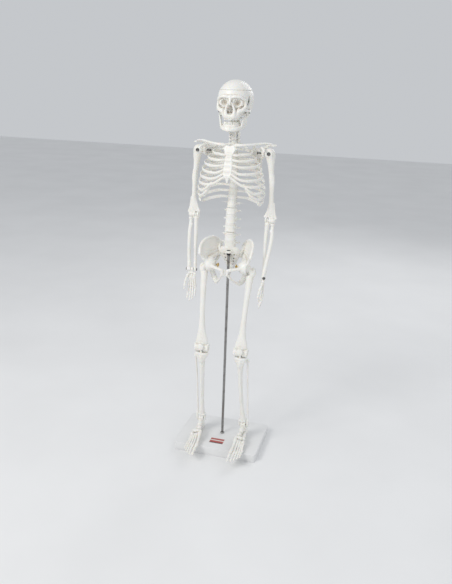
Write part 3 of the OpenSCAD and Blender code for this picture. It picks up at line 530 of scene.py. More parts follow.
class Nodes:
    """Short calls for building one material."""

    def __init__(self, name):
        self.material = bpy.data.materials.new(name)
        self.material.use_nodes = True
        self.tree = self.material.node_tree
        self.shader = self.tree.nodes["Principled BSDF"]
        self.place = self.node("ShaderNodeTexCoord").outputs["Object"]

    def node(self, kind, **settings):
        made = self.tree.nodes.new(kind)
        for key, value in settings.items():
            setattr(made, key, value)
        return made

    def link(self, source, target):
        if isinstance(source, (int, float)):
            target.default_value = source
        elif isinstance(source, tuple):
            target.default_value = (*source, 1.0)[: len(target.default_value)]
        else:
            self.tree.links.new(source, target)

    def noise(self, scale, detail=3.0, rough=0.5, stretch=(1, 1, 1)):
        mapping = self.node("ShaderNodeMapping")
        self.link(self.place, mapping.inputs["Vector"])
        mapping.inputs["Scale"].default_value = stretch
        made = self.node("ShaderNodeTexNoise")
        self.link(mapping.outputs["Vector"], made.inputs["Vector"])
        made.inputs["Scale"].default_value = scale
        made.inputs["Detail"].default_value = detail
        made.inputs["Roughness"].default_value = rough
        return made.outputs["Fac"]

    def cells(self, scale):
        made = self.node("ShaderNodeTexVoronoi")
        self.link(self.place, made.inputs["Vector"])
        made.inputs["Scale"].default_value = scale
        return made.outputs["Distance"]

    def spread(self, value, low, high, to_low=0.0, to_high=1.0):
        made = self.node("ShaderNodeMapRange")
        for socket, number in zip(("Value", "From Min", "From Max", "To Min", "To Max"),
                (value, low, high, to_low, to_high)):
            self.link(number, made.inputs[socket])
        return made.outputs["Result"]

    def math(self, operation, a, b=0.0):
        made = self.node("ShaderNodeMath", operation=operation)
        self.link(a, made.inputs[0])
        self.link(b, made.inputs[1])
        return made.outputs[0]

    def blend(self, share, a, b, mode="MIX"):
        made = self.node("ShaderNodeMix", data_type="RGBA", blend_type=mode)
        self.link(share, made.inputs["Factor"])
        self.link(a, made.inputs[6])
        self.link(b, made.inputs[7])
        return made.outputs[2]

    def bump(self, height, distance, strength=1.0, under=None):
        made = self.node("ShaderNodeBump")
        made.inputs["Strength"].default_value = strength
        made.inputs["Distance"].default_value = distance
        self.link(height, made.inputs["Height"])
        if under is not None:
            self.link(under, made.inputs["Normal"])
        return made.outputs["Normal"]

    def finish(self, color, roughness, normal=None, **constants):
        self.link(color, self.shader.inputs["Base Color"])
        self.link(roughness, self.shader.inputs["Roughness"])
        if normal is not None:
            self.link(normal, self.shader.inputs["Normal"])
        for name, value in constants.items():
            self.shader.inputs[name.replace("_", " ")].default_value = value
        return self.material


def moulded_bone(name, color, deep, rough=0.36):
    """Ivory plastic: painted shade in the hollows, faintly mottled, with a moulded grain."""
    m = Nodes(name)
    hollow = m.node("ShaderNodeAttribute", attribute_name="hollow").outputs["Fac"]
    mottle = m.noise(60, 4)
    fine = m.noise(420, 3)
    # painted shade: the colour darkens towards deep where the hollow value says a point is enclosed, broken
    # up by the mottle
    hollow_shade = m.math("MULTIPLY", m.spread(hollow, 0.18, 0.95), m.spread(mottle, 0.3, 0.7, 0.6, 1.0))
    base = m.blend(m.spread(mottle, 0.35, 0.7), color,
        tuple(c * s for c, s in zip(color, (0.975, 0.965, 0.935))))
    base = m.blend(hollow_shade, base, deep)
    base = m.blend(m.spread(fine, 0.62, 0.8, 0.0, 0.22), base, tuple(c * 0.84 for c in color))
    normal = m.bump(m.noise(160, 3), 0.00035, 0.5)
    normal = m.bump(m.noise(1100, 2), 0.00006, 0.6, normal)
    roughness = m.math("ADD", m.spread(fine, 0.3, 0.7, rough - 0.05, rough + 0.08),
        m.spread(hollow_shade, 0, 1, 0, 0.2))
    return m.finish(base, roughness, normal, Subsurface_Weight=0.12, Subsurface_Scale=0.002,
        Subsurface_Radius=(1.0, 0.7, 0.45), Specular_IOR_Level=0.5)


def grained_plastic(name, color):
    """Stand plate: light plastic with a fine pebble grain and rubbed patches."""
    m = Nodes(name)
    grain = m.cells(900)
    patch = m.noise(18, 4)
    base = m.blend(m.spread(patch, 0.35, 0.7), color, tuple(c * 0.95 for c in color))
    base = m.blend(m.spread(m.noise(240, 2), 0.6, 0.75, 0.0, 0.25), base, tuple(c * 0.82 for c in color))
    normal = m.bump(grain, 0.00012, 0.45)
    return m.finish(base, m.spread(patch, 0.3, 0.7, 0.42, 0.56), normal)


def worn_metal(name, color, dark, rough, brushed=(1, 1, 1), scale=300):
    """Bare or plated metal, with dull patches and fine scratches along one way."""
    m = Nodes(name)
    scratch = m.noise(scale, 3, 0.6, brushed)
    patch = m.noise(90, 4)
    base = m.blend(m.spread(patch, 0.5, 0.72), color, dark)
    base = m.blend(m.spread(scratch, 0.62, 0.8, 0.0, 0.4), base, tuple(min(1, c * 1.25) for c in color))
    normal = m.bump(scratch, 0.00004, 0.4)
    return m.finish(base, m.spread(patch, 0.35, 0.7, rough, rough + 0.16), normal, Metallic=1.0)


def black_rubber(name):
    m = Nodes(name)
    dust = m.noise(130, 4)
    base = m.blend(m.spread(dust, 0.55, 0.75), (0.018, 0.018, 0.018), (0.055, 0.052, 0.048))
    return m.finish(base, m.spread(dust, 0.3, 0.7, 0.5, 0.7), m.bump(m.noise(900, 2), 0.00008, 0.5))


def printed_label(name, low, high):
    """Plain sticker: a red field with a white band, a black strip and a border, with no lettering.
    low and high are its corners in metres."""
    m = Nodes(name)
    split = m.node("ShaderNodeSeparateXYZ")
    m.link(m.place, split.inputs[0])
    across = m.spread(split.outputs["X"], low[0], high[0])
    deep = m.spread(split.outputs["Y"], low[1], high[1])

    def inside(value, a, b):
        return m.math("MULTIPLY", m.math("GREATER_THAN", value, a), m.math("LESS_THAN", value, b))

    field = m.math("MULTIPLY", inside(across, 0.04, 0.96), inside(deep, 0.08, 0.92))
    band = m.math("MULTIPLY", inside(across, 0.04, 0.96), inside(deep, 0.5, 0.66))
    strip = m.math("MULTIPLY", inside(across, 0.04, 0.96), inside(deep, 0.08, 0.22))
    worn = m.spread(m.noise(700, 3), 0.42, 0.7, 0.0, 0.25)
    base = m.blend(field, (0.80, 0.79, 0.76), (0.42, 0.055, 0.045))
    base = m.blend(strip, base, (0.05, 0.05, 0.055))
    base = m.blend(band, base, (0.72, 0.70, 0.66))
    base = m.blend(worn, base, (0.62, 0.5, 0.47))
    return m.finish(base, m.spread(worn, 0, 0.25, 0.32, 0.5), m.bump(m.noise(500, 2), 0.00005, 0.4))


IVORY = (0.86, 0.85, 0.815)
label_low, label_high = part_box("base_label")
MATERIALS = {
    # the third colour of the bone and cartilage materials is the painted shade in their hollows
    "bone": moulded_bone("ivory_bone", IVORY, (0.40, 0.29, 0.155)),
    "cartilage": moulded_bone("pale_cartilage", (0.84, 0.825, 0.785), (0.42, 0.31, 0.18), 0.42),
    "base_plate": grained_plastic("plate_plastic", (0.79, 0.79, 0.785)),
    "label": printed_label("sticker", label_low, label_high),
    # painted reflection: the chrome's base colour is darkened to stand in for the dark surroundings the rod
    # reflects; its dull patches and scratches are real wear
    "rod": worn_metal("chrome", (0.30, 0.295, 0.29), (0.20, 0.195, 0.19), 0.12, (1, 1, 0.06)),
    "ferrule": black_rubber("black_bush"),
    "steel": worn_metal("dark_zinc", (0.20, 0.195, 0.19), (0.10, 0.095, 0.09), 0.32),
    "brass": worn_metal("turned_brass", (0.62, 0.44, 0.16), (0.36, 0.24, 0.08), 0.24),
}


# ---------------------------------------------------------------- spine

SPINE = [(478, 7), (487, 6), (530, 2), (574, 7), (615, 17), (650, 21), (685, 17), (714, 12), (737, 7),
    (755, 7), (775, 9)]
LUMBAR_LOW = 487
LUMBAR_PITCH = 19
THORACIC_LOW = LUMBAR_LOW + 5 * LUMBAR_PITCH
THORACIC_HIGH = THORACIC_LOW + 13.7 * 12 - 0.18 * 144
CERVICAL_PITCH = (NECK[2] - THORACIC_HIGH) / 7


def spine_y(z):
    return along(z, SPINE)


def thoracic_z(k):
    """Height of the middle of thoracic vertebra k, counted from the lowest, 0 to 11."""
    return THORACIC_LOW + 13.7 * (k + 0.5) - 0.18 * (k + 0.5) ** 2


def centrum(w, d, h, waist=0.8, rim=0.7):
    """Vertebral body: an oval drum, narrower at its middle."""

    def distance(x, y, z):
        near = np.sqrt((x / (w / 2)) ** 2 + (y / (d / 2)) ** 2)
        out = (near - 1) * d / 2 + waist * (1 - (2 * z / h) ** 2) + rim
        end = abs(z) - h / 2 + rim
        return np.minimum(np.maximum(out, end), 0) + np.hypot(np.maximum(out, 0), np.maximum(end, 0)) - rim

    half = vec(w / 2, d / 2, h / 2)
    return -half, half, distance


def stand_on_spine(clay, z):
    slope = (spine_y(z + 4) - spine_y(z - 4)) / 8
    clay.place((0, spine_y(z), z), spin(X, -math.atan(slope)))


def vertebra(clay, z, w, d, h, span, back, drop):
    stand_on_spine(clay, z)
    clay.add(centrum(w, d, h))
    facet = (w * 0.1, d * 0.1, h * 0.22)
    clay.add(limb([(w * 0.3, d * 0.4, h * 0.14, h * 0.19), (w * 0.34, d * 0.78, h * 0.1, h * 0.16)]), 1.2)
    clay.add(limb([(w * 0.33, d * 0.8, h * 0.05, h * 0.26, h * 0.1),
        (0, d * 1.2, -h * 0.1, h * 0.3, h * 0.11)],
        (0.5, 0.85, 0)), 1.0)
    clay.add(ball((w * 0.35, d * 0.86, h * 0.4), facet), 1.0)
    clay.add(ball((w * 0.27, d * 1.0, -h * 0.4), facet), 1.0)
    tip = span / 2
    clay.add(limb([(w * 0.34, d * 0.8, h * 0.08, h * 0.15),
        (mix(w * 0.34, tip, 0.6), d * 0.9, h * 0.12, h * 0.11),
        (tip - h * 0.12, d * 0.97, h * 0.14, h * 0.14)]), 1.0)
    clay.add(limb([(0, d * 1.1, 0, h * 0.24, h * 0.11),
        (0, mix(d * 1.1, back, 0.6), -drop * 0.6, h * 0.2, h * 0.09),
        (0, back, -drop, h * 0.2, h * 0.13)], X), 0.8)
    clay.cut(drum((0, d * 0.74, -h), (0, d * 0.74, h), d * 0.21), 0.5)


def column(low, high, step, width, back):
    """Empty clay for one part of the spine, with room above and below it."""
    return Clay((0, -10, low - 12), (width, back, high + 12), step, mirrored=True)


def lumbar():
    clay = column(LUMBAR_LOW, THORACIC_LOW, 0.7, 25, 42)
    for k in range(5):
        vertebra(clay, LUMBAR_LOW + LUMBAR_PITCH * (k + 0.5), 25 - k * 0.6, 17.4, 14.4, 43 - k, 27, 3)
    finished(clay, "lumbar_vertebrae")


def thoracic():
    clay = column(THORACIC_LOW, THORACIC_HIGH, 0.65, 19, 52)
    for k in range(12):
        vertebra(clay, thoracic_z(k), 20 - k * 0.5, 15.4 - k * 0.4, 10.6 - k * 0.2, 29 + k * 0.2,
            24 - abs(k - 5) * 0.4, 7 - abs(k - 6) * 0.7)
    finished(clay, "thoracic_vertebrae")


def cervical():
    clay = column(THORACIC_HIGH, NECK[2], 0.5, 18, 36)
    for k in range(6):
        z = THORACIC_HIGH + CERVICAL_PITCH * (k + 0.5)
        vertebra(clay, z, 13, 8.6, 5.9, 25, 18 - k * 0.8, 2)
        # stacked side pillars
        clay.add(ball((9.2, 5.6, 0), (3.6, 4.0, 4.2)), 1.2)
        # holes through the side processes, and the split tip of the spine process
        clay.cut(drum((8.2, 4.6, -4), (8.2, 4.6, 4), 0.9), 0.4)
        clay.add(ball((1.6, 18 - k * 0.8, -2.2), 1.2), 0.8)
    # the axis has a peg, and the atlas is a ring
    clay.add(limb([(0, -0.5, 3, 2.2), (0, -0.8, 8.5, 1.8)]), 0.8)
    stand_on_spine(clay, THORACIC_HIGH + CERVICAL_PITCH * 6.5)
    ring = [(9.2 * math.sin(a), 4.5 - 8.3 * math.cos(a), 0.2, 1.7) for a in np.linspace(0, math.pi, 9)]
    clay.add(limb(ring), 0.8)
    clay.add(ball((8, 1.5, 0), (3.4, 4.6, 2.8)), 1.0)
    clay.add(limb([(9, 2, 0, 1.8), (15, 3.5, 0, 1.5)]), 1.0)
    clay.cut(drum((11.5, 2.8, -4), (11.5, 2.8, 4), 0.9), 0.4)
    clay.place()
    clay.cut(drum(NECK - [0, 0, 9], NECK + [0, 0, 9], 1.9))
    clay.keep(2, high=NECK[2] - 0.4)
    finished(clay, "cervical_vertebrae")


def discs():
    clay = Clay((0, -10, LUMBAR_LOW - 6), (14, 36, NECK[2]), 0.6, mirrored=True)

    def disc(z, w, d, h):
        stand_on_spine(clay, z)
        clay.add(centrum(w, d, h + 0.5, waist=-0.5), 0.3)

    for k in range(5):
        disc(LUMBAR_LOW + LUMBAR_PITCH * k + (0.7 if k == 0 else 0), 22.5 - k * 0.5, 15.4,
            3.4 if k == 0 else 4.6)
    disc(THORACIC_LOW - 0.35, 18.5, 13.6, 3.9)
    for k in range(1, 12):
        disc((thoracic_z(k - 1) + thoracic_z(k)) / 2, 18 - k * 0.45, 13.6 - k * 0.36, 3.2 - k * 0.16)
    for k in range(7):
        disc(THORACIC_HIGH + CERVICAL_PITCH * k, 11, 7.4, CERVICAL_PITCH - 5.9)
    clay.place()
    clay.cut(drum(NECK - [0, 0, 9], NECK + [0, 0, 9], 1.9))
    finished(clay, "intervertebral_discs")


# ---------------------------------------------------------------- chest

# One value for each rib, from the first to the twelfth
RIB_HALF_WIDTH = [29, 43, 53, 60, 65, 69, 72, 74, 74.5, 72, 66, 54]
RIB_BACK = [12, 16, 19, 21, 22, 22, 22, 22, 21, 19, 15, 11]
RIB_FRONT = [-18, -26, -32, -36, -39, -41, -41, -40, -37, -32, -22, -10]
RIB_SWEEP = [150, 152, 150, 148, 147, 143, 138, 132, 124, 114, 95, 62]
RIB_DROP = [7, 9, 11, 13, 16, 18, 20, 22, 22, 20, 13, 8]
RIB_HEAD_X = 8.5
STERNUM = [(640, -37), (652, -38), (700, -26), (718, -20)]
STERNUM_HALF = [(640, 1.4), (646, 3.2), (650, 4), (653, 7), (660, 9), (674, 9.4), (690, 7.8), (697, 7.2),
    (704, 10.5), (711, 12.6), (716, 11), (718.5, 6)]
# Where the first seven cartilages meet the breastbone: x and z
SEATS = [(11, 711), (8.5, 698), (8.5, 688), (9, 677), (9, 667), (8, 659), (6, 653)]


def rib_point(k, t):
    """Point of rib k at share t of its length, on the left side."""
    z0 = thoracic_z(11 - k) + 1
    y0, w = spine_y(z0), RIB_HALF_WIDTH[k]
    back, front = y0 + RIB_BACK[k], RIB_FRONT[k]
    first = math.degrees(math.asin(RIB_HEAD_X / w))
    a = mix(first, RIB_SWEEP[k], t)
    pull = (back - y0 - 4) * (1 - ease((a - first) / 24))
    r = math.radians(a)
    return vec(w * math.sin(r), (back + front) / 2 + (back - front) / 2 * math.cos(r) - pull,
        z0 - RIB_DROP[k] * ease(t))


def ribs():
    clay = Clay((4, -46, 590), (79, 48, 724), 0.7)
    for k in range(12):
        steps = 14
        points = np.array([rib_point(k, i / steps) for i in range(steps + 1)])
        run = np.gradient(points, axis=0)
        t = np.linspace(0, 1, steps + 1)
        tall = (2.2 if k == 11 else 2.7) + (0.4 if k == 11 else 0.95) * ease(t * 3)
        if k > 9:
            tall = tall - (1.3 if k == 10 else 1.0) * ease((t - 0.7) / 0.3)
        across = [unit(np.cross(r, Z)) for r in run]
        if k == 0:
            clay.add(limb(np.column_stack([points, mix(2.0, 3.3, ease(t * 3)), np.full(steps + 1, 1.7)]),
                Z, 2), 0.6)
        else:
            # each band leans outwards at its lower edge
            lean = [unit(a + [0, 0, 0.25]) for a in across]
            clay.add(limb(np.column_stack([points, tall, mix(1.9, 1.35, ease(t * 4))]), np.array(lean), 2),
                0.6)
        clay.add(ball(points[0] + [0.5, 0, 0], (2.2, 2.2, 2.6)), 1.0)
        clay.add(ball(rib_point(k, 0.12) + [0, 1.2, 0], (2.6, 1.8, 2.2)), 1.6)
    mirrored_pair(clay, "ribs", 1)


def sternum_y(z):
    return along(z, STERNUM)


def sternum():
    half = np.array(STERNUM_HALF)
    outline = [(x, z) for z, x in half] + [(3, 716.8), (-3, 716.8)] + [(-x, z) for z, x in half[::-1]]
    mid = -29
    clay = Clay((0, -44, 634), (17, -14, 724), 0.6, mirrored=True)

    def dome(x, z, edge):
        # the bone bulges at the joint of its two parts and at the cartilage seats
        ridge = 0.9 * np.exp(-(((z - 700) / 2.0) ** 2))
        return mid - sternum_y(z) + ridge

    def thickness(x, z, edge):
        bumps = 0.35 * np.cos((z - 667) * 2 * math.pi / 10.5)
        return 2.5 + bumps * (z < 694) - 1.2 * (z < 650)

    clay.add(plate(outline, (0, mid, 0), X, Z, thickness, dome, 1.5))
    for x, z in SEATS:
        clay.add(ball((x - 1.5, sternum_y(z), z), (1.9, 1.7, 2.2)), 1.0)
    clay.cut(ball((11.5, -20, 717.5), (3.5, 4, 2.5)), 0.8)
    finished(clay, "sternum")


def cartilages():
    clay = Clay((0, -50, 606), (64, -4, 724), 0.65, mirrored=True)
    for k, (x, z) in enumerate(SEATS):
        a, c = rib_point(k, 0.985), vec(x + 0.5, sternum_y(z) - 0.2, z)
        m = vec(mix(a[0], c[0], 0.45), mix(a[1], c[1], 0.6) - 1.5,
            mix(a[2], c[2], 0.3) - (1.5 if k > 3 else 0))
        clay.add(limb([(*a, 3.2, 1.9), (*m, 2.9, 2.0), (*c, 2.5, 1.9)], (0.4, 1, 0), 5), 0.8)
    for k in (7, 8, 9):
        a, b = rib_point(k, 0.985), rib_point(k - 1, 0.995)
        m = mix(a, b, 0.5) + [-9, -6, 3]
        e = mix(b, vec(8, sternum_y(652), 650), 0.32)
        clay.add(limb([(*a, 3.0, 1.9), (*m, 2.8, 2.0), (*e, 2.4, 1.9)], (0.6, 1, 0), 5), 1.2)
    finished(clay, "costal_cartilages")


# ---------------------------------------------------------------- shoulder girdle


def clavicle():
    clay = Clay((4, -32, 706), (88, 22, 730), 0.6)
    clay.add(limb([(10, -19.5, 717, 3.6, 3.5), (14, -22, 718.5, 4.1, 4.0), (26, -24, 719.4, 2.9, 2.9),
        (42, -16, 720.6, 2.6, 2.6), (57, -2, 722, 2.9, 2.4), (68, 7, 723, 3.8, 2.1),
            (76, 12, 722.5, 4.4, 1.9),
        (80.5, 14, 722, 3.6, 1.7)], Z))
    clay.add(ball((70, 10, 721.2), (3.5, 3, 1.6)), 1.5)
    mirrored_pair(clay, "clavicle")


def scapula():
    low, top, neck = vec(53, 45, 641), vec(37, 37, 716), vec(61, 17, 701)
    v = unit(top - low)
    u = unit((neck - low) - (neck - low) @ v * v)
    outline = [(0, -2), (-3, 14), (-5, 34), (-6, 52), (-5.5, 66), (0, 78), (8, 76), (15, 70), (21, 68),
        (27, 67),
        (31, 62), (29, 54), (23, 43), (15, 27), (8, 10), (4, -1)]

    def dome(a, b, edge):
        return -1.6 * ease(-edge / 9) + 0.5

    def thickness(a, b, edge):
        # thin in the middle, thick along the outer border
        border = np.exp(-(((a - 4 - 0.42 * b) / 3.2) ** 2)) * (b < 58)
        return 0.95 + 1.5 * border + 0.7 * np.exp(-((edge / 2.0) ** 2))

    clay = Clay((28, -16, 634), (97, 54, 726), 0.65)
    clay.add(plate(outline, low, u, v, thickness, dome))
    clay.add(limb([(57, 21, 703, 4.6), (64, 14.5, 702.5, 5.4)]), 2.5)
    clay.add(ball((65.5, 13.2, 702), (4.4, 7.6, 10)), 2.0)
    clay.add(limb([(59, 26, 686, 2.6), (63, 17, 694, 3.6)]), 2.0)
    # spine and acromion
    clay.add(limb([(37, 42, 704, 2.6, 1.0), (48, 38.5, 707, 3.8, 1.1), (60, 33, 710, 5.4, 1.4),
        (68, 29, 714, 4.8, 1.7)], (0.1, -0.35, 1)), 1.5)
    clay.add(limb([(37, 44, 704.5, 1.7), (48, 41.5, 708, 1.6), (60, 36.5, 712.5, 1.8),
        (72, 32, 717, 2.1)]), 1.2)
    clay.add(limb([(70, 31, 716.5, 3.4, 1.8), (80, 29, 718.5, 4.2, 1.8), (87.5, 23.5, 718.8, 4.6, 1.8),
        (88, 14, 718.4, 3.8, 1.6), (84.5, 11, 718.6, 2.8, 1.5)], Z), 1.5)
    # coracoid
    clay.add(limb([(61, 14, 706, 4.0), (62.5, 8, 712, 3.4), (64, 1, 714, 3.1), (69, -6.5, 711.5, 2.7),
        (71, -9.5, 708, 2.3)]), 2.0)
    clay.cut(ball(SHOULDER, 12.2), 0.4)
    clay.cut(drum((50, SHOULDER[1], SHOULDER[2]), (74, SHOULDER[1], SHOULDER[2]), 1.9))
    mirrored_pair(clay, "scapula")


# ---------------------------------------------------------------- arm


def humerus():
    s, e = SHOULDER, ELBOW
    clay = Clay((64, -3, 546), (106, 26, 716), 0.75)
    clay.add(ball(s, 11.5))
    clay.add(limb([(*(s + [7, 1, 1.5]), 5.0), (*(s + [7.4, 1, -5]), 5.3), (*(s + [6, 0, -12]), 5.6)]), 1.5)
    clay.add(limb([(*(s + [4, -7, -3]), 3.9), (*(s + [5, -3, -14]), 4.6)]), 1.5)
    clay.cut(limb([(*(s + [8.6, -6.6, 1]), 1.4), (*(s + [8.2, -6.4, -8]), 1.5),
        (*(s + [7, -6.8, -22]), 1.2)]), 1.5)
    shaft = zip((0, 0.06, 0.13, 0.22, 0.36, 0.55, 0.72, 0.84, 0.93, 0.985),
        (9.6, 9.2, 7.6, 6.1, 5.4, 5.1, 5.6, 7.6, 11.2, 11.8),
            (9.6, 8.8, 7.2, 5.8, 5.4, 5.0, 4.7, 3.9, 3.2, 3.1))
    clay.add(limb([(*(mix(s + [2, 0, -2], e, t) + [2.5 * math.sin(math.pi * t), 0, 0]), a, b)
        for t, a, b in shaft], Y, 4), 1.0)
    clay.add(limb([(*(s + [10.5, -0.5, -46]), 1.6), (*(s + [12, -0.5, -60]), 2.2),
        (*(s + [11, 0, -74]), 1.4)]), 3.5)
    # ridges above the elbow, epicondyles and the joint roller
    clay.add(limb([(*(e + [-12.5, 0, 8]), 3.0), (*(e + [-9.5, 0, 15]), 2.2), (*(e + [-4.5, 0, 34]), 1.8)]),
        1.5)
    clay.add(limb([(*(e + [11.5, 0.6, 6]), 2.9), (*(e + [8.5, 0.4, 16]), 2.1), (*(e + [6, 0, 38]), 1.8)]),
        1.5)
    clay.add([drum(e + [-12, 0, 0], e + [-8.5, 0, 0], 6.0, 5.3, 0.8),
        drum(e + [-9, 0, 0], e + [1, 0, 0], 5.2, 5.5)], 0.8)
    clay.add(ball(e + [5.4, -0.3, 0], (6.2, 5.9, 5.9)), 1.2)
    clay.cut(ball(e + [-1.5, 5, 10], (5, 3, 4.6)), 1.0)
    clay.cut(ball(e + [-1.5, -4.8, 9.5], (5.5, 2.0, 3.6)), 1.0)
    # slots for the shoulder eye and the ulna's tongue, and the bolt's seats
    clay.cut(block(s + [-15, -2, -2.6], s + [0, 2, 15]), 0.3)
    clay.cut(block(s + [-1, -2, 0], s + [2.6, 2, 15]), 0.3)
    clay.cut(drum(s - [0, 2, 0], s + [0, 2, 0], 5), 0.3)
    clay.cut(drum(s - [0, 20, 0], s + [0, 20, 0], 1.6), 0.3)
    for y0, y1 in ((-19.8, -9.8), (9.8, 19.8)):
        clay.cut(drum(s + [0, y0, 0], s + [0, y1, 0], 4.2), 0.3)
    clay.cut(block(e + [-8, -12, -12], e + [-4, 12, 6.6]), 0.3)
    clay.cut(drum(e - [20, 0, 0], e + [20, 0, 0], 1.3), 0.3)
    mirrored_pair(clay, "humerus")


def hook(mid, lean, half, radius, thick, middle, spread):
    """Round bar bent along an arc about an X axis at mid.
    middle and spread are the arc's angles in degrees."""
    mid = vec(*mid)
    a = math.radians(middle) - math.radians(lean)
    ends = math.sin(math.radians(spread)), math.cos(math.radians(spread))

    def distance(x, y, z):
        x, y, z = x - mid[0], y - mid[1], z - mid[2]
        # p runs along the arc's middle direction and q across it
        p = -y * math.sin(a) - z * math.cos(a)
        q = abs(y * math.cos(a) - z * math.sin(a))
        ring = abs(np.hypot(p, q) - radius)
        tip = np.hypot(p - radius * ends[1], q - radius * ends[0])
        near = np.where(q * ends[1] > p * ends[0], tip, ring) - thick + 0.8
        side = abs(x) - half + 0.8
        return np.minimum(np.maximum(near, side), 0) + np.hypot(np.maximum(near, 0),
            np.maximum(side, 0)) - 0.8

    reach = vec(half, radius + thick, radius + thick)
    return mid - reach, mid + reach, distance


def arm_point(t, off, turn):
    """Point beside the line from elbow to wrist, carried round with the forearm's turn."""
    a = -turn * ease(t)
    return mix(ELBOW, WRIST, t) + vec(off[0] * math.cos(a) - off[1] * math.sin(a),
        off[0] * math.sin(a) + off[1] * math.cos(a), 0)


def forearm_clay():
    return Clay((62, -22, 424), (106, 26, 571), 0.7)


def wrist_knuckle(clay, x, w, turn):
    """Rounded end that the wrist screw passes through."""
    clay.place(WRIST, spin(Z, -turn))
    clay.add(drum((x - w / 2, 0, 0), (x + w / 2, 0, 0), 4.1, rim=1.0), 1.0)
    clay.add(limb([(x, 0, 1, w * 0.46, 3.7), (x, 0, 8, w * 0.38, 3.2), (x * 0.95, 0, 14, w * 0.3, 3.0)],
        Y), 1.5)
    clay.cut(drum((-20, 0, 0), (20, 0, 0), 1.2), 0.3)
    clay.place()


def ulna(turn):
    e = ELBOW
    lean = math.degrees(math.atan2(e[1] - WRIST[1], e[2] - WRIST[2]))
    clay = forearm_clay()
    clay.add(hook((e[0] - 6.5, e[1], e[2]), lean, 5.4, 8.1, 1.6, -58, 78))
    clay.add(drum(e + [-7.6, 0, 0], e + [-4.4, 0, 0], 5.1), 0.4)
    rows = [(0.07, 4.7, 5.2), (0.11, 4.7, 5.2), (0.2, 4.4, 4.6), (0.32, 4.1, 4.3), (0.5, 3.8, 4.0),
        (0.7, 3.6, 3.7),
        (0.85, 3.6, 3.8), (0.94, 3.8, 3.9)]
    clay.add(limb([(*arm_point(t, (mix(-6, -7, t), 0), turn), b, a) for t, a, b in rows], X), 1.5)
    # crest that faces the radius, and the stub on the far end
    clay.add(limb([(*arm_point(t, (-3.4, 0), turn), r) for t,
        r in ((0.22, 0.8), (0.4, 1.3), (0.62, 0.9))]), 1.5)
    wrist_knuckle(clay, -6.9, 6.0, turn)
    clay.add(limb([(*arm_point(0.985, (-10.2, 0.8), turn), 1.4),
        (*arm_point(1.03, (-10, 0.8), turn), 0.9)]), 0.8)
    clay.cut(drum(e - [20, 0, 0], e + [20, 0, 0], 1.3), 0.3)
    return clay


def radius(turn):
    clay = forearm_clay()
    head, shoulder_of_head = arm_point(0.052, (6.3, 0), turn), arm_point(0.088, (6.3, 0), turn)
    clay.add(drum(head, shoulder_of_head, 5.1, 4.4, 0.8))
    clay.cut(ball(head + [0, 0, 1.4], (3.6, 3.6, 2.0)), 0.6)
    rows = [(0.08, 0, 3.8), (0.12, 0, 3.5), (0.19, 0.4, 4.1), (0.3, 1.9, 4.1), (0.5, 2.4, 4.1),
        (0.7, 1.9, 4.2),
        (0.83, 1.0, 4.5), (0.93, 0.4, 4.8)]
    clay.add(limb([(*arm_point(t, (mix(6.3, 7, t) + bow, 0), turn), r, r * 0.88) for t, bow, r in rows],
        Y), 1.2)
    clay.add(ball(arm_point(0.19, (3.4, -1), turn), (1.9, 2.0, 3.6)), 1.5)
    wrist_knuckle(clay, 8.1, 9.4, turn)
    clay.add(limb([(*arm_point(0.98, (11, -0.5), turn), 1.8),
        (*arm_point(1.035, (11.6, -0.5), turn), 1.1)]), 1.0)
    return clay


# Rays of the hand from the thumb side: knuckle x and z, finger tip x and the finger's length
RAYS = [(8.4, -40, 9.4, 28), (2.8, -42, 3.2, 31), (-2.8, -40.5, -3, 28), (-8.2, -38, -9.2, 23)]


def bone_chain(clay, points, radii, waist, soft=0.5):
    """Small long bones end to end: knobs at the points, thinner shafts between."""
    for (a, b), (ra, rb) in zip(zip(points[:-1], points[1:]), zip(radii[:-1], radii[1:])):
        a, b = vec(*a), vec(*b)
        inset = unit(b - a) * 0.35
        a, b = a + inset * ra, b - inset * rb
        clay.add(limb([(*a, ra), (*mix(a, b, 0.25), ra * waist), (*mix(a, b, 0.6), min(ra, rb) * waist),
            (*b, rb)]),
            soft)


def hand(turn):
    clay = Clay((-14, -18, -82), (26, 8, 6), 0.55)
    clay.add(drum((-2.7, 0, 0), (2.7, 0, 0), 4.3, rim=0.7))
    clay.add(block((-2.7, -3, -9), (2.7, 3, 0), 0.8), 0.8)
    # two rows of wrist bones
    for x, y, z, r in ((6.6, -0.4, -9.6, 3.7), (1.4, 0.2, -8.8, 3.5), (-4, 0.4, -9.4, 3.4),
        (-7.4, -1.8, -10.6, 2.5),
            (10, -1.8, -14.6, 3.1), (5.4, 0, -15.4, 3.0), (0.8, 0.3, -14.6, 3.5), (-5, 0, -15.2, 3.6)):
        clay.add(ball((x, y, z), (r, r * 0.9, r)), 0.7)
    for x, z, tip, length in RAYS:
        knuckle = vec(x, 0, z)
        bone_chain(clay, [(x * 0.68, 0, -18.2), knuckle], [3.1, 3.0], 0.74)
        end = vec(tip, -7.5, z - length)
        middle = mix(knuckle, end, 0.5) + [0, 1.7, 0]
        far = mix(knuckle, end, 0.79) + [0, 1.0, 0]
        bone_chain(clay, [knuckle + [0, -0.2, -2.2], middle, far, end], [2.8, 2.5, 2.2, 1.8], 0.8)
        clay.add(ball(end, (2.0, 1.5, 2.0)), 0.5)
    bone_chain(clay, [(9.5, -2, -13), (13.6, -7, -26), (15, -9.5, -36), (15, -11.5, -46)],
        [3.5, 3.1, 2.7, 2.0], 0.78)
    clay.cut(drum((-20, 0, 0), (20, 0, 0), 1.2), 0.3)
    points, faces, hollow = clay.mesh()
    return points @ spin(Z, -turn).T + WRIST, faces, hollow


def left_or_right(stem, side, points, faces, hollow):
    if side == "right":
        points, faces = points * [-1, 1, 1], faces[:, ::-1]
    stands_for(blender_mesh(f"look_{stem}_{side}", points, faces, hollow), f"{stem}_{side}")


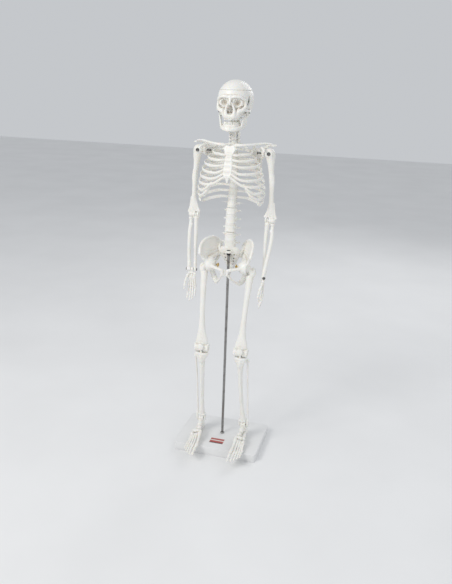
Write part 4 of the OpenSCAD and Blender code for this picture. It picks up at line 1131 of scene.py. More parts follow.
def forearms():
    for side, turn in (("right", 0.0), ("left", FOREARM_TURN)):
        left_or_right("ulna", side, *ulna(turn).mesh())
        left_or_right("radius", side, *radius(turn).mesh())
        left_or_right("hand", side, *hand(turn))


# ---------------------------------------------------------------- pelvis


def patch(corners, r):
    """Flat three-cornered patch with rounded edges and half-thickness r."""
    a, b, c = corners
    normal = np.cross(b - a, c - a)
    size = max(np.linalg.norm(normal), 1e-6)
    normal = normal / size
    sides = [(p, q - p, np.cross(normal, q - p)) for p, q in ((a, b), (b, c), (c, a))]

    def distance(x, y, z):
        best, within = None, True
        for p, run, inward in sides:
            dx, dy, dz = x - p[0], y - p[1], z - p[2]
            t = np.clip((dx * run[0] + dy * run[1] + dz * run[2]) / (run @ run), 0, 1)
            near = (dx - t * run[0]) ** 2 + (dy - t * run[1]) ** 2 + (dz - t * run[2]) ** 2
            best = near if best is None else np.minimum(best, near)
            within = within & (dx * inward[0] + dy * inward[1] + dz * inward[2] > 0)
        face = (x - a[0]) * normal[0] + (y - a[1]) * normal[1] + (z - a[2]) * normal[2]
        return np.where(within, abs(face), np.sqrt(best)) - r

    return np.min(corners, axis=0) - r, np.max(corners, axis=0) + r, distance


def skin(lines, steps=3):
    """Smooth curved plate through lines of rows (x, y, z, half-thickness)."""
    lines = np.array([curve(line, steps) for line in lines])
    grid = np.array([curve(lines[:, j], steps) for j in range(lines.shape[1])])
    shapes = []
    for i in range(grid.shape[0] - 1):
        for j in range(grid.shape[1] - 1):
            a, b, c, d = grid[i, j], grid[i + 1, j], grid[i + 1, j + 1], grid[i, j + 1]
            r = (a[3] + b[3] + c[3] + d[3]) / 4
            shapes += [patch((a[:3], b[:3], c[:3]), r), patch((a[:3], c[:3], d[:3]), r)]
    return shapes


CUP_R = 12.2
# Iliac crest from front to back, the line below it above the socket, and the middle of the wing
CREST = [(58, -33, 480.5, 2.4), (59.5, -26.5, 492, 2.5), (58, -13, 502.5, 2.2), (51, 3, 508.5, 2.0),
    (43, 17, 508.5, 2.1), (36, 30, 502.5, 2.6), (27, 34, 493, 3.0)]
WING = [(54.5, -29, 473, 2.6), (54.5, -20, 480, 1.6), (52, -8, 486, 1.25), (46, 6, 490, 1.25),
    (39, 16.5, 491.5, 1.6), (32, 25, 490, 2.6), (26, 30, 486, 3.4)]
BRIM = [(51, -23, 465, 3.4), (49, -14, 468, 3.0), (46, -3, 468.5, 3.0), (40, 9, 470, 3.2),
    (33, 18.5, 472, 3.6),
    (27.5, 25, 474.5, 3.8), (25, 28, 478, 3.8)]


def hip_bone():
    h = HIP
    clay = Clay((2, -40, 402), (71, 42, 517), 0.75)
    clay.add(skin([CREST, WING, BRIM]), 0.6)
    clay.add(limb([(x, y, z, r + 0.9) for x, y, z, r in CREST]), 1.5)
    clay.add(ball((58, -33, 480), (3.0, 3.0, 4.2)), 1.5)
    clay.add(ball((52, -26, 466.5), (3.4, 3.0, 3.8)), 1.5)
    clay.add(limb([(26, 18, 480, 3.0), (29, 26, 490, 3.2)]), 2.0)
    clay.add(limb([(27, 27, 474, 3.8), (25, 31, 471, 3.2)]), 2.0)
    # socket, and the beams that carry it
    clay.add(ball(h + [-1.5, 0, 0], (15.8, 16.0, 16.0)), 2.0)
    clay.add(limb([(51, -23, 465, 4.0), (*(h + [3, -8, 8]), 5.5)]), 3.0)
    clay.add(limb([(*(h + [-1, 3, 10]), 7.0), (38, 8, 466, 5.0), (31, 19, 470, 4.4)]), 3.0)
    # pubis
    clay.add(limb([(36, -18, 451, 6.2, 5.6), (27, -26, 450, 4.0, 3.6), (17, -31, 448.6, 3.5, 3.2),
        (8, -33.2, 447, 3.8, 3.6)], Z), 2.0)
    clay.add(patch((vec(9, -33, 447), vec(5, -33, 446), vec(5, -31.4, 436)), 3.0), 1.5)
    clay.add(ball((13.5, -33.5, 450.5), (2.6, 2.0, 1.8)), 1.5)
    clay.add(limb([(6, -31, 436.5, 3.0), (10, -26, 429, 2.7), (15, -18, 420.5, 2.6), (21, -9, 413.5, 3.0),
        (27, -1.5, 409.5, 4.2)]), 1.5)
    # ischium
    clay.add(limb([(40, 1, 438, 7.4), (38, 6.5, 428, 6.0), (34.5, 7.5, 418, 6.2), (30, 4, 411, 6.0),
        (26.5, 0, 409.2, 4.8)]), 2.5)
    clay.add(limb([(42, 4, 446, 6.0), (35, 13, 453, 3.8), (29.5, 21, 462, 3.4), (27, 26, 470, 3.6)]), 2.5)
    clay.add(limb([(37, 11, 439, 3.0), (32.5, 16.5, 438, 1.2)]), 2.0)
    clay.cut(ball(h, CUP_R), 0.3)
    clay.cut(drum(h + [2.5, 0, 0], h + [18.5, 0, 0], CUP_R - 0.2, 30, 0.2), 0.5)
    # the notch at the socket's lower edge, and the bore for the hip screw
    clay.cut(limb([(*(h + [-2, -2, -10]), 2.6), (*(h + [8, -4, -18]), 3.4)]), 1.0)
    clay.cut(drum(h - [30, 0, 0], h, 1.75), 0.3)
    clay.keep(0, low=1.9)
    mirrored_pair(clay, "hip_bone")


def sacrum():
    clay = Clay((0, -9, 414), (31, 38, 492), 0.65, mirrored=True)
    rows = [(0, 8.5, 479, 23, 7.2), (0, 15.5, 468, 19.5, 6.2), (0, 20.5, 457, 15.5, 5.2),
        (0, 23, 446, 11, 4.2),
        (0, 22, 436, 6.5, 3.0)]
    clay.add(limb(rows, (0, 1, 0.35)))
    clay.add([drum((4.2, 7, 477), (4.2, 7, 484.7), 8, rim=1.0), block((-4, -1, 477), (4.2, 15, 484.7), 1.0),
        drum((0, 0, 479), (0, 0, 484.7), 7.2, rim=1.0)], 1.5)
    clay.add(limb([(8, 9, 481, 4.2), (23, 13.5, 479, 4.4), (22.5, 18.5, 470, 4.4)]), 2.5)
    # the blunt points that the lowest vertebra rests on, and the ridge behind
    clay.add(limb([(8.5, 20, 480, 2.4), (8.5, 20.5, 485.5, 2.0)]), 1.0)
    for y, z, r in ((23.5, 480, 2.2), (27.5, 472, 2.3), (29.5, 464, 2.2), (29.8, 456, 2.0), (28.5, 448, 1.6)):
        clay.add(ball((0, y, z), (1.3, 2.6, 3.2)), 1.6)
        clay.add(ball((8.6 - (480 - z) * 0.1, y - 2.5, z), (1.2, 1.4, 2.6)), 1.6)
    # ridges between the joined bodies, and four pairs of nerve holes right through
    for k, (y, z) in enumerate(((2.6, 474.5), (8.2, 465.6), (13.4, 457), (17.2, 448.8))):
        clay.add(limb([(0, y + 0.4, z + 4.4, 0.7), (7 - k, y + 1.0, z + 4.6, 0.6)]), 1.2)
        x = 11.2 - 1.9 * k
        clay.cut(limb([(x + 1, y - 7, z - 2, 2.3 - 0.2 * k), (x, y + 6, z, 1.7 - 0.15 * k),
            (x, y + 22, z + 2, 1.3)]),
            1.0)
    clay.cut(limb([(0, 17, 490, 3.0), (0, 21, 478, 2.6), (0, 26, 462, 1.6), (0, 27, 446, 1.2)]), 0.6)
    # tail bones
    for y, z, r in ((21.8, 434, 3.8), (19.5, 428.4, 3.0), (16.9, 423.6, 2.3), (14.6, 419.8, 1.7)):
        clay.add(ball((0, y, z), (r, r * 0.72, r * 0.86)), 0.5)
    bush_low, bush_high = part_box("rod_bush")
    hole = (bush_high[0] - bush_low[0]) / 2 / MM + 0.05
    clay.cut(drum((0, 0, bush_low[2] / MM - 8), (0, 0, 500), hole), 0.2)
    finished(clay, "sacrum")


def symphysis():
    clay = Clay((0, -40, 428), (5, -26, 453), 0.5, mirrored=True)
    clay.add(limb([(0, -32.6, 446.4, 3.2, 1.9), (0, -31.6, 434.8, 2.9, 1.9)], X))
    finished(clay, "pubic_symphysis")


# ---------------------------------------------------------------- leg


def femur():
    h, k = HIP, KNEE
    clay = Clay((26, -58, 243), (69, 7, 466), 0.8)
    clay.add(ball(h, 11.5))
    clay.add(limb([(*(h + [4, 0, -1.5]), 7.0), (*(h + [10, 1.8, -6.5]), 6.1), (*(h + [15, 3, -14]), 7.6)]),
        1.5)
    # greater and lesser trochanters, and the ridge that joins them
    clay.add(limb([(*(h + [15, 4, -17]), 7.2), (*(h + [18, 5, -9]), 5.6),
        (*(h + [17.2, 6.4, -3.4]), 4.0)]), 2.0)
    clay.add(limb([(*(h + [10, 6, -31]), 4.2), (*(h + [7.4, 8, -26.5]), 3.0)]), 2.0)
    clay.add(limb([(*(h + [16, 9, -8]), 1.8), (*(h + [12, 9.5, -18]), 1.8), (*(h + [8, 8.4, -26]), 1.6)]),
        2.0)
    clay.cut(ball(h + [10.5, 9.6, -5], (4.0, 3.4, 5.0)), 2.0)
    top, low = h + [11, 2, -22], k + [0, 0, 10]
    rows = [(0, 8.4, 7.6), (0.1, 7.5, 7.3), (0.2, 6.9, 6.9), (0.35, 6.1, 6.3), (0.5, 6.0, 6.3),
        (0.65, 6.5, 6.4),
        (0.8, 8.6, 6.8), (0.9, 12.0, 7.2), (0.97, 15.0, 7.6)]
    clay.add(limb([(*(mix(top, low, t) + [0, -6 * math.sin(math.pi * t), 0]), a, b) for t, a, b in rows],
        Y, 4), 1.5)
    # rough line down the back, and the flat above the knee
    clay.add(limb([(*(mix(top, low, t) + [0, 6.4 - 6 * math.sin(math.pi * t), 0]), 1.2) for t in (0.15,
        0.4, 0.62)]), 2.0)
    clay.cut(ball(k + [0, 9.4, 24], (7, 3, 13)), 3.0)
    for side, size in ((-1, 1.0), (1, 0.97)):
        a, b = k + [side * 3.4, 0, 0], k + [side * 16.8, 0, 0]
        clay.add(drum(a, b, 10 * size, 9.6 * size, 2.6), 1.5)
        clay.add(ball(k + [side * 10, 1.0, 1.6], (6.4, 8.2, 7.8)), 1.5)
        clay.add(ball(k + [side * 15, 1, 5.5], (3.4, 5.0, 5.0)), 2.0)
    clay.add(block(k + [-6, -9.2, 1.0], k + [6, 4, 14], 3.0), 2.0)
    # groove for the kneecap, and the gap between the knuckles
    clay.cut(limb([(*(k + [0, -12.2, 18]), 3.2), (*(k + [0, -12.0, 8]), 4.0),
        (*(k + [0, -11.0, -4]), 3.6)]), 2.5)
    clay.cut(block(k - [2.6, 20, 20], k + [2.6, 20, 7], 0.8), 0.6)
    clay.cut(limb([(*(k + [0, 11, -4]), 4.4), (*(k + [0, 10.6, 4]), 3.6)]), 1.5)
    clay.cut(drum(k - [25, 0, 0], k + [25, 0, 0], 1.6), 0.3)
    mirrored_pair(clay, "femur")


def patella():
    outline = [(0, 8.0), (4.6, 6.6), (7.6, 2.2), (7.2, -2.4), (4.2, -6.4), (0, -9.0), (-4.2, -6.4),
        (-7.2, -2.4),
        (-7.6, 2.2), (-4.6, 6.6)]

    def dome(a, b, edge):
        return 1.5 * ease(-edge / 7)

    clay = Clay(KNEE + [-12, -22, -8], KNEE + [12, -6, 18], 0.5)
    clay.add(plate(outline, KNEE + [0, -13.2, 5], X, Z, 1.7, dome, 1.4))
    clay.add(ball(KNEE + [0, -12.4, 6], (6.4, 1.9, 5.8)), 1.5)
    mirrored_pair(clay, "patella")


def tibia():
    k, a = KNEE, ANKLE
    clay = Clay((26, -56, 47), (66, 6, 266), 0.8)
    clay.add(drum(k - [2, 0, 0], k + [2, 0, 0], 5.6, rim=0.8))
    clay.add(block(k - [2, 4.8, 14], k + [2, 4.8, 0], 0.8), 0.5)
    clay.add(limb([(*(k + [0, -0.4, -14.6]), 15.6, 8.0), (*(k + [0, -0.2, -18.6]), 13.4, 8.0),
        (*(k + [0, 0, -24]), 10.0, 7.6), (*(k + [-0.4, 0, -33]), 7.0, 7.0)], Y), 1.0)
    clay.add(limb([(*(k + [-15, 1.2, -15.2]), 1.6), (*(k + [-9, -5.4, -14.8]), 1.9),
        (*(k + [0, -6.6, -15.6]), 2.0),
        (*(k + [9, -5.4, -14.8]), 1.9), (*(k + [15, 1.2, -15.2]), 1.6)]), 2.0)
    clay.keep(2, high=k[2] + 6)
    clay.cut([block(k + [-20, -12, -11.3], k + [-2.4, 12, 8], 0.3),
        block(k + [2.4, -12, -11.3], k + [20, 12, 8], 0.3)], 0.3)
    clay.add(limb([(*(k + [0, -6.6, -21]), 3.4), (*(k + [0, -6.4, -26]), 3.2),
        (*(k + [-0.5, -4, -36]), 2.6)]), 2.5)
    top, low = k + [-0.5, 0, -19.2], a + [-1, 0, 10.1]
    rows = [(0.07, 8.6, 7.6), (0.16, 6.4, 6.6), (0.3, 5.3, 5.9), (0.5, 4.9, 5.3), (0.7, 4.7, 4.8),
        (0.85, 5.4, 5.1),
        (0.94, 7.0, 6.4), (1, 7.6, 7.0)]
    path = [(*(mix(top, low, t) + [-1.5 * math.sin(math.pi * t), -1.5 * math.sin(math.pi * t), 0]), p, q)
        for t, p, q in rows]
    clay.add(limb(path, Y, 4), 1.5)
    # sharp front edge
    clay.add(limb([(*(mix(top, low, t) + [-0.6, -1.5 * math.sin(math.pi * t) - 5.6, 0]), r)
        for t, r in ((0.12, 1.5), (0.3, 1.3), (0.5, 1.2), (0.68, 0.8))]), 2.5)
    clay.add(block(a + [-10, -7, 8.2], a + [6.6, 7, 12], 1.4), 2.0)
    clay.add(limb([(*(a + [-8.9, 0, 10]), 3.2), (*(a + [-9.2, -0.4, 1]), 2.9),
        (*(a + [-9.0, -1, -3.5]), 2.2)]), 1.5)
    clay.cut(drum(a - [6.3, 0, 0], a + [6.3, 0, 0], 8.0, rim=0.3), 0.4)
    for centre, r in ((k, 1.6), (a, 1.1)):
        clay.cut(drum(centre - [20, 0, 0], centre + [20, 0, 0], r), 0.3)
    mirrored_pair(clay, "tibia")


def fibula():
    k, a = KNEE, ANKLE
    clay = Clay((50, -44, 44), (70, 6, 246), 0.7)
    high, low = k + [15, 10, -32], a + [10, 3, 20]
    rows = [(*(k + [16.4, 6.3, -18.2]), 1.9), (*(k + [16.6, 7, -22.5]), 3.5), (*(k + [16.4, 7.4, -27]), 3.1),
        (*(k + [16, 8, -33]), 2.3), (*mix(high, low, 0.35), 2.0), (*mix(high, low, 0.7), 2.0),
        (*(a + [10, 2, 20]), 2.4), (*(a + [10.2, 0.8, 9]), 3.1), (*(a + [9.8, 0.5, -2]), 3.1),
            (*(a + [9.3, 1, -7.4]), 1.8)]
    clay.add(limb(rows, None, 4))
    clay.cut(drum(a - [6.3, 0, 0], a + [6.3, 0, 0], 8.0, rim=0.3), 0.4)
    clay.cut(drum(a - [20, 0, 0], a + [20, 0, 0], 1.1), 0.3)
    mirrored_pair(clay, "fibula")


# Toes from the great toe out: x and y of the ball of the foot, x and y of the tip, and thickness
TOES = [(-9.5, -80, -9.5, -116, 4.0), (-1.8, -84, -2, -115, 3.0), (4, -81, 4, -109, 2.9),
    (9.4, -76, 9.6, -102, 2.9),
    (14.2, -69, 14.2, -94, 2.8)]


def foot():
    """Points, faces and hollows of the left foot, with the ankle's pin as its centre."""
    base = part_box("base_shell")[1][2] / MM
    sole = base + 1.6 - ANKLE[2]
    clay = Clay((-17, -122, sole - 3), (21, 26, 10), 0.65)
    clay.add(drum((-5.9, 0, 0), (5.9, 0, 0), 7.5, rim=0.8))
    clay.cut(limb([(0, -9, 2, 1.2), (0, 0, 8.4, 1.4), (0, 9, 2, 1.2)]), 1.5)
    clay.add(limb([(0, 3.5, -6.5, 5.6), (0, -7, -6.6, 5.8), (-0.5, -17, -10.5, 5.6)]), 1.5)
    # heel bone
    clay.add(limb([(0.5, -3, -12.5, 6.4), (1.5, 8, sole + 11, 8.0), (1.5, 14.6, sole + 9.4, 8.6)]), 2.0)
    clay.add(ball((1.5, 20, sole + 9.6), (6.4, 3.6, 7.6)), 2.5)
    clay.add(limb([(3, 0, sole + 12, 6.6), (5.4, -17, sole + 12, 6.0), (6.4, -27, sole + 11.4, 5.4)]), 2.0)
    clay.cut(limb([(4.5, -9, -8.6, 1.6), (9, -12, -10.5, 2.2)]), 1.5)
    # navicular, cuboid and the three wedges
    for x, y, z, r in ((-2.4, -26.5, -14.6, 5.8), (8.6, -34, -20.6, 5.2), (-7.4, -38.5, -17.6, 4.9),
            (-1.4, -38, -15.6, 4.4), (4, -38.5, -17.2, 4.3), (11, -44.5, -23.4, 4.2)):
        clay.add(ball((x, y, z), (r, r * 1.1, r)), 1.0)
    for x, y, tip_x, tip_y, r in TOES:
        share = (x + 10) / 25
        rear = vec(x * 0.82, -45, mix(-19.5, -26.5, share))
        middle = vec(mix(x * 0.82, x, 0.6), -62, sole + 8.6 - x * 0.12)
        knuckle = vec(x, y, sole + r * 1.42)
        clay.add(limb([(*rear, r * 1.22), (*mix(rear, middle, 0.45), r * 0.86), (*middle, r * 0.74),
            (*mix(middle, knuckle, 0.6), r * 0.8), (*knuckle, r * 1.22)]), 0.8)
        tip = vec(tip_x, tip_y, sole + r * 0.92)
        great = r > 3.5
        stops = (0.5,) if great else (0.42, 0.72)
        joints = [knuckle + [0, -r * 0.8, 0]] + [mix(knuckle, tip, s) + [0, 0,
            r * 0.3] for s in stops] + [tip]
        radii = [r * 1.08, r * 0.98, r * 0.86] if great else [r * 1.05, r * 0.95, r * 0.85, r * 0.78]
        bone_chain(clay, joints, radii, 0.74)
    clay.cut(drum((-20, 0, 0), (20, 0, 0), 1.1), 0.3)
    clay.keep(2, low=sole)
    return clay.mesh()


def feet():
    points, faces, hollow = foot()
    for side, turn in FOOT_TURN.items():
        placed = points @ spin(Z, turn).T + ANKLE
        left_or_right("foot", side, placed, faces, hollow)


# ---------------------------------------------------------------- skull

SKULL_MID = vec(0, 12, 811.5)
SKULL_HALF = vec(37.5, 45.5, 38.5)
SKULL_WALL = 3
CAP_CUT = 829


def vault(shrink=0.0):
    """Brain case: a broad back, a narrower forehead and a flatter crown."""
    return [ball(SKULL_MID + [0, 3.5, 0], SKULL_HALF - [0, 3.5, 0] - shrink),
        ball(SKULL_MID + [0, -15, 1.5], vec(31.5, 29.5, 33) - shrink)]


def skull():
    clay = Clay((0, -46, 764), (41, 62, 852), 0.7, mirrored=True)
    for part in vault():
        clay.add(part, 9)
    # cheekbone side of the temple, pressed in behind the eye
    clay.cut(ball((43, -16, 806), (12.5, 12, 22)), 3.0)
    clay.add(limb([(0, 46, 797, 6), (16, 40, 794, 6), (26, 24, 791, 6)]), 8)
    clay.add(limb([(0, 40, 789, 9), (14, 30, 787, 8), (22, 18, 788, 7)]), 5)
    clay.add(ball((0, 55.5, 803), (4, 2.4, 4)), 4)
    clay.add(limb([(27.5, 14.5, 789, 6.2), (27.5, 12, 782, 4.6), (26.5, 9.5, 776.5, 2.6)]), 2.5)
    # brow, nose root and bridge
    clay.add(limb([(3, -33.0, 815, 3.2), (12, -33.6, 816.5, 3.2), (21, -30, 815.5, 3.0),
        (27.5, -23, 811, 3.0)]), 3)
    clay.add(limb([(0, -33, 816, 4.0), (0, -35, 809, 3.0), (0, -37.6, 804, 2.3), (0, -39.6, 799, 1.6)]), 1.6)
    # cheek, its arch and the upper jaw
    clay.add(limb([(28.2, -21.5, 811, 2.6), (29, -20, 804, 2.3), (29, -21, 796, 3.0), (25, -25.5, 790.5, 4.0),
        (18, -29.5, 787, 3.6)]), 2)
    clay.add(limb([(28, -21, 791, 3.4, 2.2), (33, -12, 788.6, 2.4, 1.5), (35.2, -3, 788, 2.1, 1.4),
        (34, 4, 788.4, 2.4, 1.8), (30.5, 9.5, 790, 3.2, 2.6)], X, 4), 1.0)
    clay.add(limb([(4.4, -35.4, 803.5, 1.6), (7.4, -34.2, 796, 1.9), (9.4, -33, 788, 3.0),
        (8, -33, 779, 4.4)]), 2)
    clay.add(limb([(17.5, -26, 788, 5.2), (13.5, -27, 781, 5.8), (7, -31, 776.5, 5.0)]), 3)
    clay.add(limb([(20, -20, 788, 4.6), (16.5, -19, 781, 4.6)]), 3)
    clay.add(limb([(0, -33.4, 777, 4.0), (8.5, -31.4, 776.5, 4.2), (14, -23, 776.5, 4.0),
        (15.5, -13, 777.5, 3.6)]), 2)
    clay.add(ball((0, -18, 781), (12, 13, 3)), 2)
    clay.add(limb([(12.5, -5, 789, 4.0), (13.5, -7.5, 778, 2.6)]), 2)
    clay.add(ball((13, -17, 801), (11, 11, 9)), 3)
    clay.add(ball((0, -8, 790), (9, 12, 7)), 3)
    # inside of the brain case, eye sockets, nose and temple openings
    inner = Clay.copy(clay)
    inner.d[:] = FAR
    for part in vault(SKULL_WALL):
        inner.add(part, 9)
    inner.keep(2, low=791)
    clay.d = np.maximum(clay.d, -inner.d)
    # bone that closes the back of the eye socket
    clay.add(ball((14.5, -20, 803.5), (12, 9.5, 11)), 2.0)
    clay.add(ball((0, -24, 800), (8, 8, 10)), 2.0)
    clay.cut(limb([(15.2, -36, 804.2, 8.6, 7.6), (14.4, -29, 803.8, 7.4, 6.6),
        (13.2, -23.5, 803.2, 4.2, 3.8)], Z), 1.4)
    clay.cut(limb([(22.5, -23, 797.5, 1.2), (19, -27, 795.5, 1.0)]), 1.0)
    clay.cut(limb([(0, -44, 799, 2.0, 1.6), (0, -36, 796.5, 3.0, 2.6), (0, -26, 794, 3.4, 3.0)]), 0.8)
    clay.cut(limb([(3.0, -42, 789.4, 3.0, 2.9), (3.0, -34, 789.2, 3.2, 3.2), (2.4, -24, 790, 3.2, 3.0)],
        X), 1.2)
    clay.add(limb([(0, -33.5, 798, 0.8, 0.45), (0, -33.5, 786, 0.9, 0.5)], X), 0.4)
    clay.add(limb([(5.6, -29, 792.4, 1.3), (5.2, -24, 792.4, 1.3)]), 0.6)
    clay.cut(limb([(32, -6, 820, 0.9), (32.3, -6, 810, 2.2), (32.3, -6, 799, 3.4)]), 0.6)
    clay.cut(ball((12.4, -37.5, 793.2), (0.9, 2, 0.9)), 0.6)
    # jaw joints, ear openings and the flat that turns on the neck
    clay.cut(ball((28.5, JAW[1], JAW[2]), 4.7), 0.5)
    clay.cut(drum((20, JAW[1], JAW[2]), (40, JAW[1], JAW[2]), 1.1), 0.2)
    clay.cut(drum((30, 13, 788.5), (40, 13, 788.5), 1.7), 0.8)
    clay.cut(block((-18, -3, 756), (18, 27, 778), 1.0), 0.8)
    clay.cut(limb([(0, 13, 776, 5.4, 5.4), (0, 13, 794, 5.0, 5.0)], X), 0.6)
    clay.add(drum((0, NECK[1], 779), (0, NECK[1], 787), 4.4), 0.8)
    clay.cut(drum((0, NECK[1], 770), (0, NECK[1], 786.5), 1.95), 0.2)
    teeth(clay, True)
    cap = clay.copy()
    cap.keep(2, low=CAP_CUT + 0.1)
    finished(clay.keep(2, high=CAP_CUT), "skull_base")
    finished(cap, "skull_cap")


def teeth(clay, upper):
    """Eight teeth a side along the arch of the upper or the lower jaw."""
    root, edge = (776.5, 769.3) if upper else (758.5, 765.6)
    x, y = (15.2, -13.5) if upper else (14.4, -13.5)
    angles = np.radians([7, 20, 33, 45, 56, 67.5, 80, 92])
    widths = (2.0, 1.7, 1.8, 1.7, 1.75, 2.2, 2.3, 2.1)
    deep = 21.8 if upper else 21.0
    for i, (a, w) in enumerate(zip(angles, widths)):
        px, py = x * math.sin(a), y - deep * math.cos(a)
        thick = 1.1 if i < 3 else 1.9
        tip = edge + (0.5 if upper else -0.5) * (i > 4)
        clay.place((px, py, 0), spin(Z, math.atan2(x * math.cos(a), deep * math.sin(a)) - math.pi / 2))
        clay.add(limb([(0, 0, root, w * 0.6, thick * 0.8), (0, 0, mix(root, tip, 0.6), w * 0.86, thick),
            (0, 0, mix(root, tip, 0.86), w * 0.84, thick * 0.8)], Y), 0.25)
    clay.place()


def mandible():
    clay = Clay((0, -42, 742), (35, 10, 792), 0.6, mirrored=True)
    clay.add(limb([(0, -34.2, 751.5, 4.9, 3.9), (9, -32.4, 751.5, 4.7, 3.5), (17, -23.5, 753, 4.4, 2.9),
        (24, -9.5, 756, 4.4, 2.5), (27, -1.5, 762, 4.2, 2.1)],
        np.array([(0, 1, 0), (0.3, 1, 0), (0.8, 0.6, 0), (1, 0.4, 0), (1, 0.1, 0)], float), 4), 1.0)
    clay.add(limb([(0, -37.4, 749.6, 2.2), (4, -36.6, 748.6, 1.8)]), 3)
    clay.add(limb([(0, -34, 757.5, 3.0), (9.5, -31, 757.8, 2.9), (14.5, -22, 758.6, 2.9),
        (17.5, -12, 760.4, 2.6)]), 2)
    clay.add(skin([[(27, -1.5, 760, 2.2), (28, -0.6, 770, 1.7), (28.6, 0.8, 779, 1.9)],
        [(26.2, -6, 759, 2.2), (27.2, -5, 768, 1.3), (28, -4.4, 775, 1.2)],
        [(24.2, -12, 758, 2.3), (25.8, -12, 768, 1.8), (27.6, -11, 777, 1.5)],
        [(22.0, -18, 757.5, 2.5), (23.4, -17.5, 765, 2.0), (25.2, -16, 772, 1.6)]]), 1.0)
    clay.add(limb([(28, -10.4, 775, 1.7, 1.3), (28, -11.4, 781, 1.5, 1.1)], X), 1.0)
    clay.add(limb([(28.5, 1, 777, 2.2), (28.5, 2, 783.6, 2.6)]), 1.0)
    clay.add(ball(JAW + [28.5, 0, 0], (4.2, 2.7, 3.4)), 1.0)
    clay.cut(ball((11.5, -36.4, 752.6), (0.9, 1.6, 0.9)), 0.5)
    clay.cut(drum(JAW - [40, 0, 0], JAW + [40, 0, 0], 1.1), 0.2)
    teeth(clay, False)
    finished(clay, "mandible")


# ---------------------------------------------------------------- hardware and stand


def node_turned(node, profile, direction):
    """Turned piece in place of a round CAD node.
    profile runs along the node's own length, from its low end."""
    low, high = (np.array(c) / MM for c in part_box(node))
    start = np.where(direction > 0, low, (low + high) / 2)
    stands_for(lathe("look_" + node, profile, start, direction, 40, 0.12), node)


def plain_pin(r, length, chamfer=0.25):
    return [(0, 0), (r - chamfer, 0), (r, chamfer), (r, length - chamfer), (r - chamfer, length), (0, length)]


def size_of(node):
    low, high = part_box(node)
    return (np.array(high) - np.array(low)) / MM


def pins():
    """Plain pins: neck, elbows, knees, ankles and the two in the jaw."""
    size = size_of("neck_pin")
    node_turned("neck_pin", plain_pin(size[0] / 2, size[2]), Z)
    for stem in ("elbow_pin", "knee_pin", "ankle_pin"):
        for side in ("left", "right"):
            size = size_of(f"{stem}_{side}")
            node_turned(f"{stem}_{side}", plain_pin(size[1] / 2, size[0]), X)
    size = size_of("jaw_pins")
    length = 13
    parts = [lathe("pin", plain_pin(size[1] / 2, length), (x, JAW[1], JAW[2]), X, 24, 0.1)
        for x in (-size[0] / 2, size[0] / 2 - length)]
    stands_for(joined("look_jaw_pins", parts), "jaw_pins")


def shoulder_hardware():
    bolt_r, bolt_length, hex_r, head_h, nut_h = 1.5, 21, 3.4, 2.3, 2.2
    washer_r, washer_h, washer_seat = 4.0, 0.5, -10.1
    for side, sign in (("left", 1), ("right", -1)):
        mid = SHOULDER * [sign, 1, 1]
        node = f"shoulder_bolt_{side}"
        low, high = (np.array(c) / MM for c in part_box(node))
        shank = lathe("shank", plain_pin(bolt_r, bolt_length), mid + [0, -bolt_length / 2, 0], Y, 32, 0.1)
        head = prism("head", hexagon(hex_r), 0, head_h, (mid[0], low[1] + head_h, mid[2]), -Y,
                     hole=bolt_r, bevel=0.25)
        nut = prism("nut", hexagon(hex_r), 0, nut_h, (mid[0], high[1] - nut_h, mid[2]), Y, bevel=0.25)
        ring = [(bolt_r, 0), (washer_r, 0), (washer_r, washer_h), (bolt_r, washer_h)]
        washer = lathe("washer", ring, mid + [0, washer_seat, 0], Y, 32, 0.1)
        stands_for(joined("look_" + node, [shank, head, nut, washer]), node)
        eye = Clay((48, 6, 695), (85, 18, 709), 0.4)
        eye.add(drum(SHOULDER - [0, 1.5, 0], SHOULDER + [0, 1.5, 0], 4.4, rim=0.6))
        eye.add(drum((52, SHOULDER[1], SHOULDER[2]), SHOULDER - [3, 0, 0], 1.65, rim=0.2), 0.8)
        eye.add(drum((51.4, SHOULDER[1], SHOULDER[2]), (53.4, SHOULDER[1], SHOULDER[2]), 3.0), 0.3)
        eye.cut(drum(SHOULDER - [0, 5, 0], SHOULDER + [0, 5, 0], 1.62, rim=0.1), 0.2)
        points, faces, _ = eye.mesh(1)
        if side == "right":
            points, faces = points * [-1, 1, 1], faces[:, ::-1]
        stands_for(blender_mesh(f"look_shoulder_eye_{side}", points, faces), f"shoulder_eye_{side}")


def slotted_head(name, r, h, origin, axis, slot_angle=20):
    """Low domed screw head with a straight slot cut across it."""
    head = lathe(name, [(0, 0), (r, 0), (r, h * 0.35), (r * 0.82, h * 0.8), (r * 0.45, h), (0, h)], origin,
        axis, 36, 0.1)
    place = Matrix.Translation(Vector(origin) * MM) @ Vector((0, 0,
        1)).rotation_difference(Vector(axis)).to_matrix().to_4x4()
    bpy.ops.mesh.primitive_cube_add(size=1)
    blade = bpy.context.object
    blade.scale = (r * 2.4 * MM, r * 0.26 * MM, h * 0.9 * MM)
    blade.matrix_world = place @ Matrix.Translation((0, 0,
        h * MM)) @ Matrix.Rotation(math.radians(slot_angle), 4, "Z") \
        @ Matrix.Diagonal((r * 2.4 * MM, r * 0.26 * MM, h * 0.9 * MM, 1))
    cutter = head.modifiers.new("Slot", "BOOLEAN")
    cutter.object, cutter.solver = blade, "EXACT"
    graph = bpy.context.evaluated_depsgraph_get()
    head.data = bpy.data.meshes.new_from_object(head.evaluated_get(graph))
    head.modifiers.clear()
    bpy.data.objects.remove(blade)
    head.data.shade_smooth()
    head.data.set_sharp_from_angle(angle=math.radians(35))
    return head


